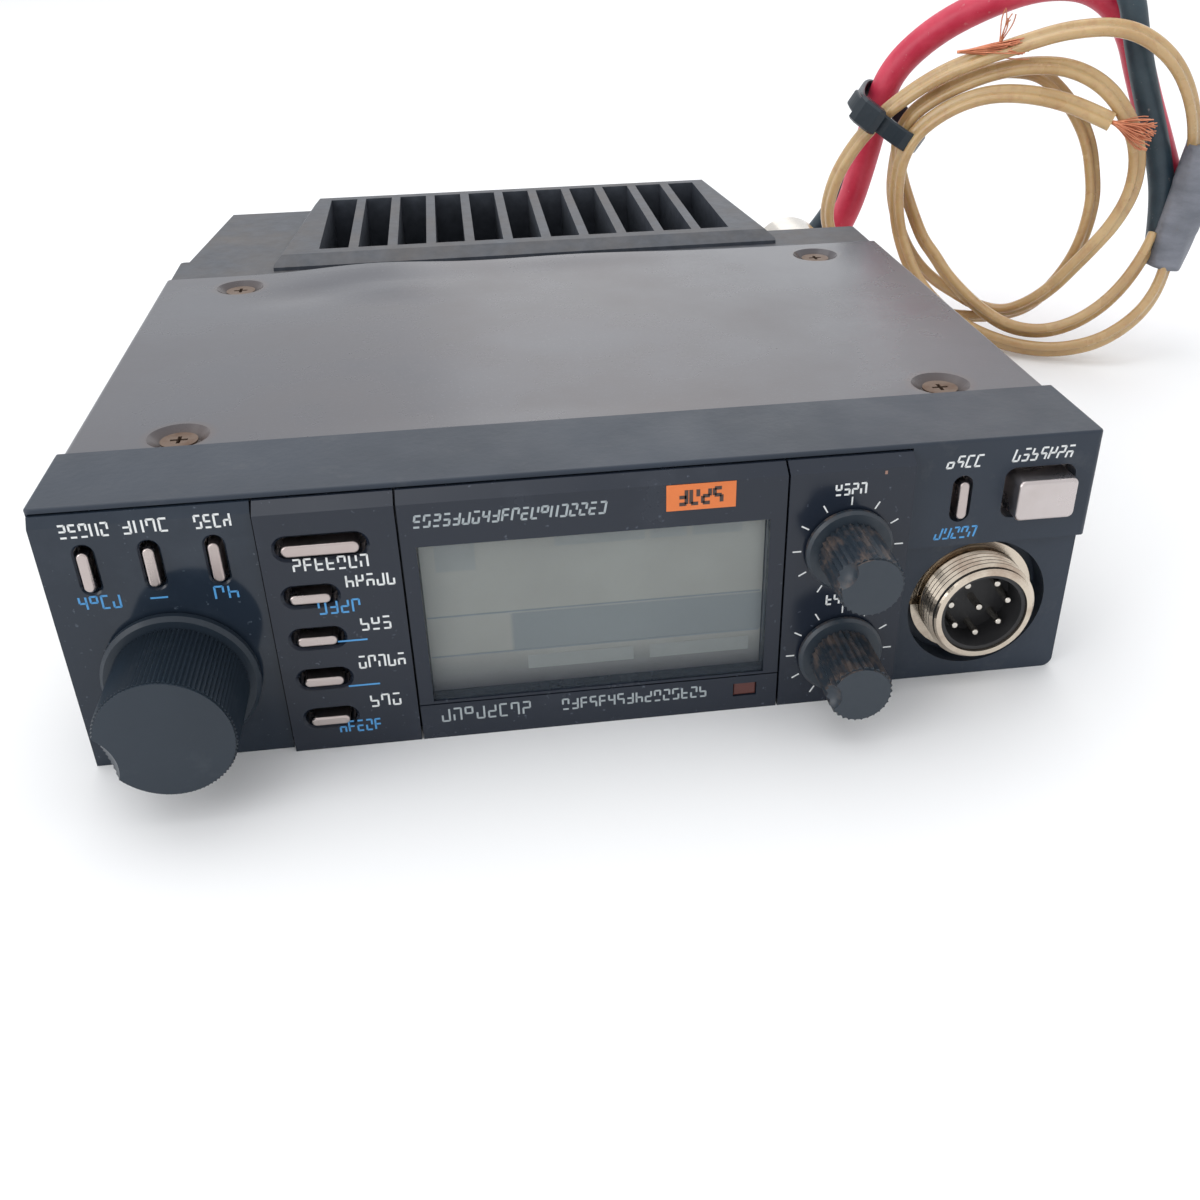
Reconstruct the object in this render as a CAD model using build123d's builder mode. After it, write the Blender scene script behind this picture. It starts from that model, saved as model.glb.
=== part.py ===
"""Mobile radio transceiver: a low steel case with a moulded control front and a finned rear casting.

Millimetres. X runs across the front, +Y towards the back, +Z up. The origin is on the surface
that the radio stands on, under the middle of the radio's own length and width.
Distances from front to back are given as depths behind the front lip of the housing.
"""
from math import cos, hypot, pi, radians, sin, tan
import os

from build123d import *

# ---------------------------------------------------------------- driving dimensions
width = 140.0  # across the front housing
height = 39.0  # front housing, bottom to top
housing_depth = 16.6  # front lip to the back edge of the moulded housing
cover_rear = 97.5  # front lip to the back edge of the sheet covers
flange_rear = 112.8  # back face of the full-width part of the casting
heatsink_rear = 152.0  # back of the finned part
dial_reach = 15.4  # the main dial's face stands this far in front of the lip
lip_y = (dial_reach - heatsink_rear) / 2  # puts the origin under the middle

wall = 2.0  # moulded housing wall
sheet = 1.0  # steel covers
split_z = 23.1  # joint between the upper and lower halves of the housing
lower_inset = 0.6  # the lower half is this much narrower on each side
socket_face = 1.3  # depth of the lower housing's face around the microphone socket

# Front panels: they lie in a shallow recess under the lip and stand proud of it.
panel_bed = 0.8  # depth of the housing face that the panels are glued to
left_face = -1.2  # depth of the left panel's face
centre_face = -2.2  # depth of the other panels' faces
panel_top = 38.15
bevel_height = 1.25
bevel_start = -0.3
panel_seams = (-69.6, -42.7, -24.95, 26.0, 43.3)  # left edge, three seams, right edge
seam_gap = 0.15  # half the gap at each seam
strip_top = 5.8  # top of the narrow strip below the display
wall_back = 2.8  # back of the housing's front wall

# Controls, as (X, Z) on the front.
dial_at = (-55.4, 13.6)
volume_at = (34.7, 25.4)
squelch_at = (34.7, 8.5)
socket_at = (55.95, 12.36)
display_at = (0.45, 18.5)
display_size = (46.6, 24.4)
lamp_at = (21.2, 3.4)
power_at = (61.8, 30.6)

stem_clearance = 0.45  # round each key stem in its slot
key_proud = 0.9  # how far the keys stand out of their panel
upright = [
    ("memory_key", -63.8, 30.65),
    ("call_key", -55.85, 30.65),
    ("megahertz_key", -47.9, 30.65),
]
flat_keys = [
    ("function_key", -34.75, 31.9, 9.8, 1.6),
    ("voice_key", -37.0, 24.75, 5.2, 1.35),
    ("repeater_key", -37.0, 18.25, 5.2, 1.35),
    ("tone_key", -37.0, 11.75, 5.2, 1.35),
    ("reverse_key", -37.0, 5.25, 5.2, 1.35),
]
upright_stem = (1.45, 5.6)
low_at = (50.85, 30.3)
power_cap = (8.4, 5.9)
shaft_radius = 3.0
running = 0.05  # radial running clearance

board_front = 9.5  # front face of the front circuit board
board_thick = 1.6
main_board_z = 20.0

screw_x = 54.9
screw_depths = (21.5, 90.2)
bracket_depths = (38.0, 78.0)
bracket_z = 19.5
bracket_hole = 1.65

casting_screw_spots = [(-58, 12), (47, 12), (-58, 33), (45, 34)]
antenna_at = (59.5, 28.0)
antenna_radius = 7.9
gland_at = (60.5, 10.6)
gland_size = (10.0, 16.0)
gland_face = 118.0

# Supply lead and the coil of wire behind the right rear corner.
red_radius = 3.4
black_radius = 2.9
red_z = 13.6
black_z = 6.6
coil_foot = (136.35, 126.56)  # X and depth of the point that the coil stands on
coil_turn = 29.3  # degrees, the coil's plane against the front of the radio
coil_half = 5.0  # half the thickness of the loose bundle
coil_outer = (-25.5, 37.1, 41.0, 36.9)  # centre across, centre up, two radii
coil_inner = (-28.5, 34.0, 19.5, 24.0)
tie_angle = 148.0  # direction from the opening's centre to the cable tie
neck_deep = 10.0  # the bundle where the tie pulls it together

os.makedirs("parts", exist_ok=True)


# ---------------------------------------------------------------- helpers
def back(depth):
    """Y of a plane that lies `depth` behind the front lip."""
    return lip_y + depth


def facing(depth):
    """Sketch plane that faces the operator: sketch X is across, sketch Y is up."""
    return Plane(origin=(0, back(depth), 0), x_dir=(1, 0, 0), z_dir=(0, -1, 0))


def block(across, depths, heights, mode=Mode.ADD):
    """Box between two X values, two depths and two heights, in the open part."""
    middle = (sum(across) / 2, back(sum(depths) / 2), sum(heights) / 2)
    with Locations(middle):
        Box(across[1] - across[0], depths[1] - depths[0], heights[1] - heights[0], mode=mode)


def rod(place, radius, depths, mode=Mode.ADD):
    """Cylinder along the depth direction, in the open part."""
    with BuildSketch(facing(depths[1])) as section:
        with Locations(place):
            Circle(radius)
    extrude(section.sketch, amount=depths[1] - depths[0], mode=mode)


def stadium(place, across, tall, depths, mode=Mode.SUBTRACT):
    """Round-ended bar or slot along the depth direction, in the open part."""
    with BuildSketch(facing(depths[1])) as section:
        with Locations(place):
            if across > tall:
                SlotOverall(across, tall)
            else:
                SlotOverall(tall, across, rotation=90)
    extrude(section.sketch, amount=depths[1] - depths[0], mode=mode)


def key_slots(depths, names, extra=0.0):
    """Slots for the named keys, through whatever the open part is."""
    for name, x, z in upright:
        if name in names:
            stem = [size + 2 * stem_clearance + extra for size in upright_stem]
            stadium((x, z), stem[0], stem[1] + 0.4, depths)
    for name, x, z, across, tall in flat_keys:
        if name in names:
            slot = (across + 2 * stem_clearance + 0.9 + extra, tall + 1.55 + extra)
            stadium((x, z), slot[0], slot[1], depths)


def bevelled_plate(x_left, x_right, face, bottom, top=panel_top):
    """Plate glued to the housing front, with its top edge bevelled back to the lip."""
    with BuildSketch(Plane.YZ.offset(x_left + seam_gap)) as side:
        with BuildLine():
            Polyline(
                (back(panel_bed), bottom),
                (back(face), bottom),
                (back(face), top - bevel_height),
                (back(bevel_start), top),
                (back(panel_bed), top),
                close=True,
            )
        make_face()
    extrude(side.sketch, amount=x_right - x_left - 2 * seam_gap)


def rim_edges(part):
    """Edges of the openings in the part's frontmost face."""
    front = part.faces().sort_by(Axis.Y)[0]
    return ShapeList([edge for wire in front.inner_wires() for edge in wire.edges()])


def outline_of_teeth(radius, teeth, cut):
    """Corner points of a ridged round section."""
    points = []
    for index in range(2 * teeth):
        angle = pi * index / teeth
        reach = radius - cut * (index % 2)
        points.append((reach * cos(angle), reach * sin(angle)))
    return points


def save(part, name):
    """Label a finished piece and write it under its own name."""
    part.label = name
    export_step(part, f"parts/{name}.step")


upper_keys = ["memory_key", "call_key", "megahertz_key", "function_key", "voice_key"]
lower_keys = ["repeater_key", "tone_key", "reverse_key"]
half_width = width / 2
lower_half = half_width - lower_inset

# ---------------------------------------------------------------- front housing, upper half
with BuildPart() as housing_upper:
    block((-half_width, half_width), (0, housing_depth), (split_z, height))
    fillet(housing_upper.edges().filter_by(Axis.Z).group_by(Axis.Y)[0], 0.9)
    fillet(housing_upper.edges().group_by(Axis.Z)[-1].sort_by(Axis.Y)[:-1], 0.4)
    # cavity, open below and behind
    block((wall - half_width, half_width - wall), (wall_back, 17), (23, height - wall), Mode.SUBTRACT)
    # shallow recess for the panels, under the lip
    block((-71, panel_seams[-1]), (-1, panel_bed), (23, height - 0.6), Mode.SUBTRACT)
    # display opening, shaft hole and key slots
    x, z = display_at
    across, tall = display_size
    block((x - across / 2, x + across / 2), (0, 3), (20, z + tall / 2), Mode.SUBTRACT)
    rod(volume_at, 3.6, (0, 3), Mode.SUBTRACT)
    key_slots((0, 3), upper_keys, 0.1)
    stadium(low_at, 2.85, 7.0, (-1, 3))
    with BuildSketch(facing(3)):
        with Locations(power_at):
            RectangleRounded(power_cap[0] + 1.7, power_cap[1] + 1.7, 1.6)
    extrude(amount=4, mode=Mode.SUBTRACT)
    # side screw holes
    for side in (-1, 1):
        with Locations(Plane(origin=(side * half_width, back(11.5), 30), z_dir=(side, 0, 0))):
            CounterSinkHole(1.4, 2.7, 5)
save(housing_upper.part, "housing_upper")

# ---------------------------------------------------------------- front housing, lower half
with BuildPart() as housing_lower:
    block((-lower_half, lower_half), (socket_face, housing_depth), (0, split_z))
    block((-lower_half, panel_seams[-1]), (panel_bed, 2), (0, split_z))
    fillet(housing_lower.edges().filter_by(Axis.Y).group_by(Axis.Z)[0].sort_by(Axis.X)[-1], 1.5)
    fillet(housing_lower.edges().filter_by(Axis.Y).group_by(Axis.Z)[0].sort_by(Axis.X)[0], 0.6)
    inner = lower_half - wall
    block((-inner, panel_seams[-1]), (wall_back, 17), (wall, 24), Mode.SUBTRACT)
    block((panel_seams[-1] - 0.1, inner), (7, 17), (wall, 24), Mode.SUBTRACT)
    block((x - across / 2, x + across / 2), (0, 3), (z - tall / 2, 24), Mode.SUBTRACT)
    rod(volume_at, 3.6, (0, 3), Mode.SUBTRACT)
    rod(squelch_at, 3.6, (0, 3), Mode.SUBTRACT)
    rod(dial_at, 3.6, (0, 3), Mode.SUBTRACT)
    key_slots((0, 3), lower_keys, 0.1)
    # round well for the microphone socket and its nut
    rod(socket_at, 10.2, (0, 4.8), Mode.SUBTRACT)
    rod(socket_at, 8.0, (4, 8), Mode.SUBTRACT)
    block((lamp_at[0] - 1.7, lamp_at[0] + 1.7), (0, 3), (lamp_at[1] - 1.1, lamp_at[1] + 1.1), Mode.SUBTRACT)
    for side in (-1, 1):
        with Locations(Plane(origin=(side * lower_half, back(11.5), 10), z_dir=(side, 0, 0))):
            CounterSinkHole(1.4, 2.7, 5)
save(housing_lower.part, "housing_lower")

# ---------------------------------------------------------------- front panels
with BuildPart() as left_panel:
    bevelled_plate(panel_seams[0] - seam_gap, panel_seams[1], left_face, 0)
    rod(dial_at, 4.0, (-2, 2), Mode.SUBTRACT)
    key_slots((-2, 2), upper_keys[:3])
    chamfer(rim_edges(left_panel), 0.25)
save(left_panel.part, "left_panel")

with BuildPart() as key_panel:
    bevelled_plate(panel_seams[1], panel_seams[2], centre_face, 0)
    key_slots((-3, 2), upper_keys[3:] + lower_keys)
    chamfer(rim_edges(key_panel), 0.35)
save(key_panel.part, "key_panel")

with BuildPart() as display_surround:
    bevelled_plate(panel_seams[2], panel_seams[3], centre_face, strip_top + 0.1)
    block((x - across / 2, x + across / 2), (-3, 2), (z - tall / 2, z + tall / 2), Mode.SUBTRACT)
save(display_surround.part, "display_surround")

with BuildPart() as name_strip:
    block(
        (panel_seams[2] + seam_gap, panel_seams[3] - seam_gap),
        (centre_face, panel_bed),
        (0, strip_top - 0.1),
    )
    lamp_span = (lamp_at[0] - 1.7, lamp_at[0] + 1.7)
    block(lamp_span, (-3, 2), (lamp_at[1] - 1.1, lamp_at[1] + 1.1), Mode.SUBTRACT)
save(name_strip.part, "name_strip")

with BuildPart() as control_panel:
    bevelled_plate(panel_seams[3], panel_seams[4], centre_face, 0)
    rod(volume_at, 3.8, (-3, 2), Mode.SUBTRACT)
    rod(squelch_at, 3.8, (-3, 2), Mode.SUBTRACT)
save(control_panel.part, "control_panel")

with BuildPart() as orange_label:
    block((9.7, 18.9), (centre_face - 0.12, centre_face), (33.1, 36.8))
save(orange_label.part, "orange_label")

with BuildPart() as lamp_lens:
    block((lamp_at[0] - 1.65, lamp_at[0] + 1.65), (-2.0, 2.6), (lamp_at[1] - 1.05, lamp_at[1] + 1.05))
    fillet(lamp_lens.faces().sort_by(Axis.Y)[0].edges(), 0.25)
save(lamp_lens.part, "lamp_lens")

# ---------------------------------------------------------------- display
with BuildPart() as display_lens:
    block(
        (x - across / 2 + 0.05, x + across / 2 - 0.05),
        (-1.9, -0.7),
        (z - tall / 2 + 0.05, z + tall / 2 - 0.05),
    )
save(display_lens.part, "display_lens")

with BuildPart() as display_glass:
    block((x - across / 2 + 0.1, x + across / 2 - 0.1), (0.2, 2.4), (z - tall / 2 + 0.1, z + tall / 2 - 0.1))
save(display_glass.part, "display_glass")

with BuildPart() as display_frame:
    half_x, half_z = across / 2, tall / 2
    block((x - half_x - 1.4, x + half_x + 1.4), (2.9, board_front), (z - half_z - 1.4, z + half_z + 1.4))
    inner_z = (z - half_z + 0.3, z + half_z - 0.3)
    block((x - half_x + 0.3, x + half_x - 0.3), (2, 5.1), inner_z, Mode.SUBTRACT)
save(display_frame.part, "display_frame")


# ---------------------------------------------------------------- keys
def make_key(place, stem, proud_face, softening):
    """Metal key with a stop flange behind the housing wall and a plunger for its switch."""
    with BuildPart() as key:
        stadium(place, stem[0], stem[1], (proud_face, wall_back + 0.2), Mode.ADD)
        fillet(key.faces().sort_by(Axis.Y)[0].edges(), softening)
        stadium(place, stem[0] + 2.6, stem[1] + 2.3, (wall_back + 0.1, wall_back + 0.9), Mode.ADD)
        rod(place, 0.8, (wall_back + 0.9, 5.2))
    return key.part


for name, x_key, z_key in upright:
    save(make_key((x_key, z_key), upright_stem, left_face - key_proud, 0.3), name)
for name, x_key, z_key, stem_across, stem_tall in flat_keys:
    save(make_key((x_key, z_key), (stem_across, stem_tall), centre_face - key_proud, 0.3), name)
save(make_key(low_at, upright_stem, -0.8, 0.3), "low_power_key")

with BuildPart() as power_button:
    with BuildSketch(facing(wall_back + 0.2)):
        with Locations(power_at):
            RectangleRounded(power_cap[0], power_cap[1], 0.9)
    extrude(amount=wall_back + 0.2 + 3.0)
    fillet(power_button.faces().sort_by(Axis.Y)[0].edges(), 0.5)
    with BuildSketch(facing(wall_back + 1.1)):
        with Locations(power_at):
            RectangleRounded(power_cap[0] + 2.8, power_cap[1] + 2.8, 1.0)
    extrude(amount=1.0)
    rod(power_at, 1.5, (wall_back + 1.1, 4.4))
save(power_button.part, "power_button")

# ---------------------------------------------------------------- front circuit board and switches
board_back = board_front + board_thick
with BuildPart() as front_board:
    block((-63.4, 63.4), (board_front, board_back), (3.4, 35.6))
    rod(socket_at, 8.6, (9, 12), Mode.SUBTRACT)
save(front_board.part, "front_board")

with BuildPart() as key_switches:
    spots = [(kx, kz) for _, kx, kz in upright] + [(key[1], key[2]) for key in flat_keys] + [low_at]
    for spot in spots:
        block((spot[0] - 1.1, spot[0] + 2.3), (6.6, board_front), (spot[1] - 2.3, spot[1] + 2.3))
        rod(spot, 1.1, (5.9, 6.6))
    block((power_at[0] - 3.2, power_at[0] + 1.6), (7.2, board_front), (26.4, 34.8))
save(key_switches.part, "key_switches")

# ---------------------------------------------------------------- microphone socket
with BuildPart() as socket_shell:
    rod(socket_at, 7.85, (-1.9, 3.3))
    rod(socket_at, 7.15, (3.3, 7.1))
    rod(socket_at, 8.4, (7.1, 8.6))
    rod(socket_at, 7.4, (8.6, 14.5))
    rod(socket_at, 6.35, (-2, 12.5), Mode.SUBTRACT)
    mouth = socket_shell.edges().filter_by(GeomType.CIRCLE).group_by(Axis.Y)[0]
    chamfer(mouth.sort_by(SortBy.RADIUS)[-1], 0.6)
    rod(socket_at, 5.2, (12, 15), Mode.SUBTRACT)
save(socket_shell.part, "socket_shell")

with BuildPart() as socket_insert:
    rod(socket_at, 6.3, (-1.4, 12.5))
    rod(socket_at, 5.7, (-2, 3.4), Mode.SUBTRACT)
save(socket_insert.part, "socket_insert")

pin_ring = 4.35
pin_angles = [120, 59, 10, -40, -90, -140, 170]
with BuildPart() as socket_pins:
    pins = [(0, 0)] + [(pin_ring * cos(radians(a)), pin_ring * sin(radians(a))) for a in pin_angles]
    for px, pz in pins:
        rod((socket_at[0] + px, socket_at[1] + pz), 0.55, (-0.1, 3.4))
    fillet(socket_pins.faces().filter_by(Plane.XZ).group_by(Axis.Y)[0].edges(), 0.3)
save(socket_pins.part, "socket_pins")

with BuildPart() as socket_nut:
    rod(socket_at, 9.05, (3.5, 4.8))
    rod(socket_at, 7.2, (3, 5), Mode.SUBTRACT)
    notch_z = (socket_at[1] - 0.75, socket_at[1] + 0.75)
    block((socket_at[0] - 10, socket_at[0] + 10), (3, 4.4), notch_z, Mode.SUBTRACT)
save(socket_nut.part, "socket_nut")


# ---------------------------------------------------------------- rotary controls
def make_control(place, body, bushing_front):
    """Body of a rotary control on the front board, with a plain bushing for its shaft."""
    with BuildPart() as control:
        half = body / 2
        block((place[0] - half, place[0] + half), (3.2, board_front), (place[1] - half, place[1] + half))
        chamfer(control.edges().filter_by(Axis.Y), 1.2)
        rod(place, 3.45, (bushing_front, 3.2))
        rod(place, shaft_radius + running, (bushing_front - 1, 7.2), Mode.SUBTRACT)
    return control.part


def make_shaft(place, front):
    """Round shaft with a flat along its front end."""
    with BuildPart() as shaft:
        rod(place, shaft_radius, (front, 7.0))
        chamfer(shaft.edges().filter_by(GeomType.CIRCLE).group_by(Axis.Y)[0], 0.4)
    return shaft.part


save(make_control(dial_at, 12.0, -0.9), "dial_encoder")
save(make_control(volume_at, 10.6, -1.9), "volume_control")
save(make_control(squelch_at, 10.6, -1.9), "squelch_control")
save(make_shaft(dial_at, -12.5), "dial_shaft")
save(make_shaft(volume_at, -11.0), "volume_shaft")
save(make_shaft(squelch_at, -11.0), "squelch_shaft")

# Main dial: flange, ridged body and a finger scoop at the lower left of its face.
scoop_angle = 196.0
with BuildPart() as main_dial:
    rod(dial_at, 10.25, (-3.2, -1.8))
    chamfer(main_dial.edges().filter_by(GeomType.CIRCLE).group_by(Axis.Y)[0], 0.6, 0.5)
    with BuildSketch(facing(-3.2)):
        with Locations(dial_at):
            Polygon(*outline_of_teeth(8.8, 90, 0.3), align=None)
    extrude(amount=dial_reach - 3.2 - 0.3)
    rod(dial_at, 8.5, (-dial_reach, -3))
    rod(dial_at, shaft_radius + 0.02, (-12.6, -1), Mode.SUBTRACT)
    with BuildSketch(facing(-1.8)):
        with Locations(dial_at):
            Circle(7.4)
            Circle(4.6, mode=Mode.SUBTRACT)
    extrude(amount=10.5, mode=Mode.SUBTRACT)
    scoop_x = dial_at[0] + 12.6 * cos(radians(scoop_angle))
    scoop = (scoop_x, back(-18.0), dial_at[1] + 12.6 * sin(radians(scoop_angle)))
    with Locations(scoop):
        Sphere(6.4, mode=Mode.SUBTRACT)
save(main_dial.part, "main_dial")


def make_knob(place, pointer):
    """Small ridged knob on a round skirt, with a finger dimple at its pointer angle."""
    with BuildPart() as knob:
        rod(place, 6.05, (-3.5, -2.6))
        chamfer(knob.edges().filter_by(GeomType.CIRCLE).group_by(Axis.Y)[0], 0.4)
        with BuildSketch(facing(-3.5)):
            with Locations(place):
                Polygon(*outline_of_teeth(4.45, 30, 0.35), align=None)
        extrude(amount=9.2)
        rod(place, 4.05, (-13.0, -3))
        rod(place, shaft_radius + 0.02, (-11.2, -2), Mode.SUBTRACT)
        angle = radians(pointer)
        with Locations((place[0] + 4.9 * cos(angle), back(-13.4), place[1] + 4.9 * sin(angle))):
            Sphere(2.3, mode=Mode.SUBTRACT)
    return knob.part


save(make_knob(volume_at, 151), "volume_knob")
save(make_knob(squelch_at, 181), "squelch_knob")

# ---------------------------------------------------------------- chassis
rail_outer = 68.7
rail_inner = 64.5
chassis_floor = 1.2
chassis_top = 37.2
with BuildPart() as chassis:
    for side in (-1, 1):
        rail = sorted((side * rail_inner, side * rail_outer))
        block(rail, (16.9, cover_rear), (chassis_floor, chassis_top))
        ear = sorted((side * 65.0, side * 67.2))
        block(ear, (8.0, 18.0), (4, 34))
        pad = sorted((side * (rail_outer - 0.5), side * 69.5))
        block(pad, (24, 92), (9.4, 29.6))
        ledge = sorted((side * 61.0, side * rail_inner))
        block(ledge, (20, 95), (main_board_z - 2.5, main_board_z))
        for depth in screw_depths:
            arm = sorted((side * 51.0, side * rail_inner))
            block(arm, (depth - 3.6, depth + 3.2), (30.5, 35.2))
            block(arm, (depth - 3.6, depth + 3.2), (3.2, 8.0))
    block((-rail_inner, rail_inner), (95.4, cover_rear), (chassis_floor, chassis_top))
    block((-rail_inner, rail_inner), (17.0, 18.4), (2.8, 8))
    block((-rail_inner, rail_inner), (17.0, 18.4), (32, 35.6))
    for side in (-1, 1):
        for depth in screw_depths:
            with Locations((side * screw_x, back(depth), 36)):
                Hole(1.3, 40)
        for depth in bracket_depths:
            with Locations(Plane(origin=(side * 69.5, back(depth), bracket_z), z_dir=(side, 0, 0))):
                Hole(bracket_hole, 5.2)
        for side_z in (10, 30):
            with Locations(Plane(origin=(side * 67.2, back(11.5), side_z), z_dir=(side, 0, 0))):
                Hole(1.3, 4)
    for hx, hz in casting_screw_spots:
        rod((hx, hz), 1.6, (94, 98), Mode.SUBTRACT)
    rod(antenna_at, 6.0, (94, 98), Mode.SUBTRACT)
    stadium(gland_at, 8.0, 13.0, (94, 98))
save(chassis.part, "chassis")

# ---------------------------------------------------------------- rear casting
fin_count = 11
fin_pitch = 7.75
slot_width = 5.8
frame_top = 39.6
flange_top = 37.4
casting_floor = 2.0
with BuildPart() as heatsink:
    block((-69.4, 69.4), (cover_rear, flange_rear), (casting_floor, flange_top))
    fillet(heatsink.edges().filter_by(Axis.Z), 0.8)
    # left wing, tapering to the back
    with BuildSketch(Plane.XY.offset(casting_floor)):
        with BuildLine():
            Polyline(
                (-67.9, back(flange_rear - 1)),
                (-63.9, back(150)),
                (-45, back(150)),
                (-45, back(flange_rear - 1)),
                close=True,
            )
        make_face()
    extrude(amount=flange_top - casting_floor)
    # raised frame round the fins
    with BuildSketch(Plane.XY.offset(casting_floor)):
        with BuildLine():
            Polyline(
                (-50.2, back(103)),
                (-45.6, back(heatsink_rear)),
                (45.6, back(heatsink_rear)),
                (50.2, back(103)),
                close=True,
            )
        make_face()
    extrude(amount=frame_top - casting_floor)
    top_edges = heatsink.faces().sort_by(Axis.Z)[-1].edges()
    chamfer([top_edges.sort_by(Axis.X)[0], top_edges.sort_by(Axis.X)[-1]], 1.2)
    # the frame's front edge slopes down to the casting
    with BuildSketch(Plane.YZ):
        with BuildLine():
            Polyline((back(102), 37.6), (back(106.6), 39.7), (back(102), 39.7), close=True)
        make_face()
    extrude(amount=60, both=True, mode=Mode.SUBTRACT)
    # slots between the fins, closed below and behind
    for index in range(fin_count):
        middle = (index - (fin_count - 1) / 2) * fin_pitch
        slot_span = (middle - slot_width / 2, middle + slot_width / 2)
        block(slot_span, (109.2, 149.6), (8, 41), Mode.SUBTRACT)
        block(slot_span, (heatsink_rear - 0.9, 153), (5, 34), Mode.SUBTRACT)
    # open fins under the left wing
    for slot_x in (-61.6, -57.2, -52.8):
        block((slot_x - 1.4, slot_x + 1.4), (117, 151), (1, 33.5), Mode.SUBTRACT)
    rod(antenna_at, 8.0, (97, 113), Mode.SUBTRACT)
    stadium(gland_at, gland_size[0] + 0.1, gland_size[1] + 0.1, (97, 113))
    for hx, hz in casting_screw_spots:
        rod((hx, hz), 1.3, (97, 106), Mode.SUBTRACT)
save(heatsink.part, "heatsink")

# ---------------------------------------------------------------- covers
cover_half = 69.6
cover_front = housing_depth + 0.3
dish_radius = 4.3
dish_depth = 1.5
corners = [(side * screw_x, back(depth)) for side in (-1, 1) for depth in screw_depths]


def make_cover(outer, inward):
    """Folded steel cover. `outer` is its outside face, `inward` is -1 for the top, +1 below."""
    inner_face = outer + inward * sheet
    lip_end = outer + inward * 8.4
    with BuildPart() as cover:
        block((-cover_half, cover_half), (cover_front, cover_rear), sorted((outer, inner_face)))
        for side in (-1, 1):
            skirt = sorted((side * (rail_outer + 0.1), side * cover_half))
            block(skirt, (cover_front, cover_rear), sorted((outer, lip_end)))
        outer_edges = cover.edges().filter_by(Axis.Y).filter_by_position(Axis.Z, outer - 0.01, outer + 0.01)
        fillet(outer_edges, 0.8)
        for cx, cy in corners:
            dish = Plane(origin=(cx, cy, outer), x_dir=(1, 0, 0), z_dir=(0, 0, -inward))
            with Locations(dish.offset(-(dish_depth + sheet) / 2)):
                Cone(2.6, dish_radius + 0.3, dish_depth + sheet)
            with Locations(dish.offset(-dish_depth / 2)):
                Cone(2.9, dish_radius, dish_depth, mode=Mode.SUBTRACT)
            with Locations(dish):
                Hole(2.0, 4)
    return cover.part


top_cover = make_cover(38.4, -1)
save(top_cover, "top_cover")

speaker_at = (0, 52.0)
with BuildPart() as bottom_cover:
    add(make_cover(0.0, 1))
    for index in range(9):
        with Locations((0, back(speaker_at[1] + (index - 4) * 5.0), 0.5)):
            Box(40 - 2.2 * abs(index - 4) ** 1.5, 2.2, 2, mode=Mode.SUBTRACT)
save(bottom_cover.part, "bottom_cover")


# ---------------------------------------------------------------- screws
def make_screw(length, head, shank, recess):
    """Countersunk cross-head screw, its head's top at the origin and its shank down -Z."""
    with BuildPart() as screw:
        drop = head - shank
        with BuildSketch(Plane.XZ):
            with BuildLine():
                rim = [(0, 0), (head, 0), (head, -0.25), (shank, -0.25 - drop), (shank, -length), (0, -length)]
                Polyline(*rim, close=True)
            make_face()
        revolve(axis=Axis.Z)
        for turn in (0, 90):
            with Locations(Location((0, 0, 0), (0, 0, turn))):
                Box(2 * recess, 0.55, 1.6, mode=Mode.SUBTRACT)
    return screw.part


cover_screw = make_screw(7.0, 2.6, 1.25, 1.2)
with BuildPart() as top_screws:
    with Locations([Location((cx, cy, 38.4 - dish_depth + 0.9)) for cx, cy in corners]):
        add(cover_screw)
save(top_screws.part, "top_screws")

with BuildPart() as bottom_screws:
    with Locations([Location((cx, cy, dish_depth - 0.9), (180, 0, 0)) for cx, cy in corners]):
        add(cover_screw)
save(bottom_screws.part, "bottom_screws")

side_screw = make_screw(5.0, 2.4, 1.25, 1.1)
with BuildPart() as housing_screws:
    for side in (-1, 1):
        for reach, side_z in ((half_width, 30), (lower_half, 10)):
            seat = Plane(origin=(side * (reach - 0.05), back(11.5), side_z), z_dir=(side, 0, 0))
            with Locations(seat):
                add(side_screw)
save(housing_screws.part, "housing_screws")

with BuildPart() as casting_screws:
    for hx, hz in casting_screw_spots:
        rod((hx, hz), 1.25, (95.4, 104))
        rod((hx, hz), 2.7, (93.6, 95.4))
save(casting_screws.part, "casting_screws")

# ---------------------------------------------------------------- inside the case
board_top = main_board_z + board_thick
with BuildPart() as main_board:
    block((-64.2, 64.2), (20.2, 94.6), (main_board_z, board_top))
    for cx, cy in corners:
        with Locations((cx, cy, main_board_z)):
            Hole(3.2, 4)
save(main_board.part, "main_board")

with BuildPart() as power_module:
    block((-33, 33), (84.4, 95.4), (board_top, 31.5))
    fillet(power_module.edges().filter_by(Axis.X).group_by(Axis.Z)[-1], 1.0)
save(power_module.part, "power_module")

with BuildPart() as shield_can:
    block((-50, -16), (32, 70), (board_top, 31))
    block((-49.6, -16.4), (32.4, 69.6), (board_top - 1, 30.6), Mode.SUBTRACT)
    fillet(shield_can.edges().filter_by(Axis.Z), 0.8)
save(shield_can.part, "shield_can")

with BuildPart() as capacitors:
    cans = [(22, 34, 5.0, 12.5), (36, 36, 4.0, 11.0), (44, 60, 5.0, 12.5)]
    for cap_x, cap_depth, cap_radius, cap_tall in cans:
        with BuildSketch(Plane.XY.offset(board_top)):
            with Locations((cap_x, back(cap_depth))):
                Circle(cap_radius)
        extrude(amount=cap_tall)
save(capacitors.part, "capacitors")

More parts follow.
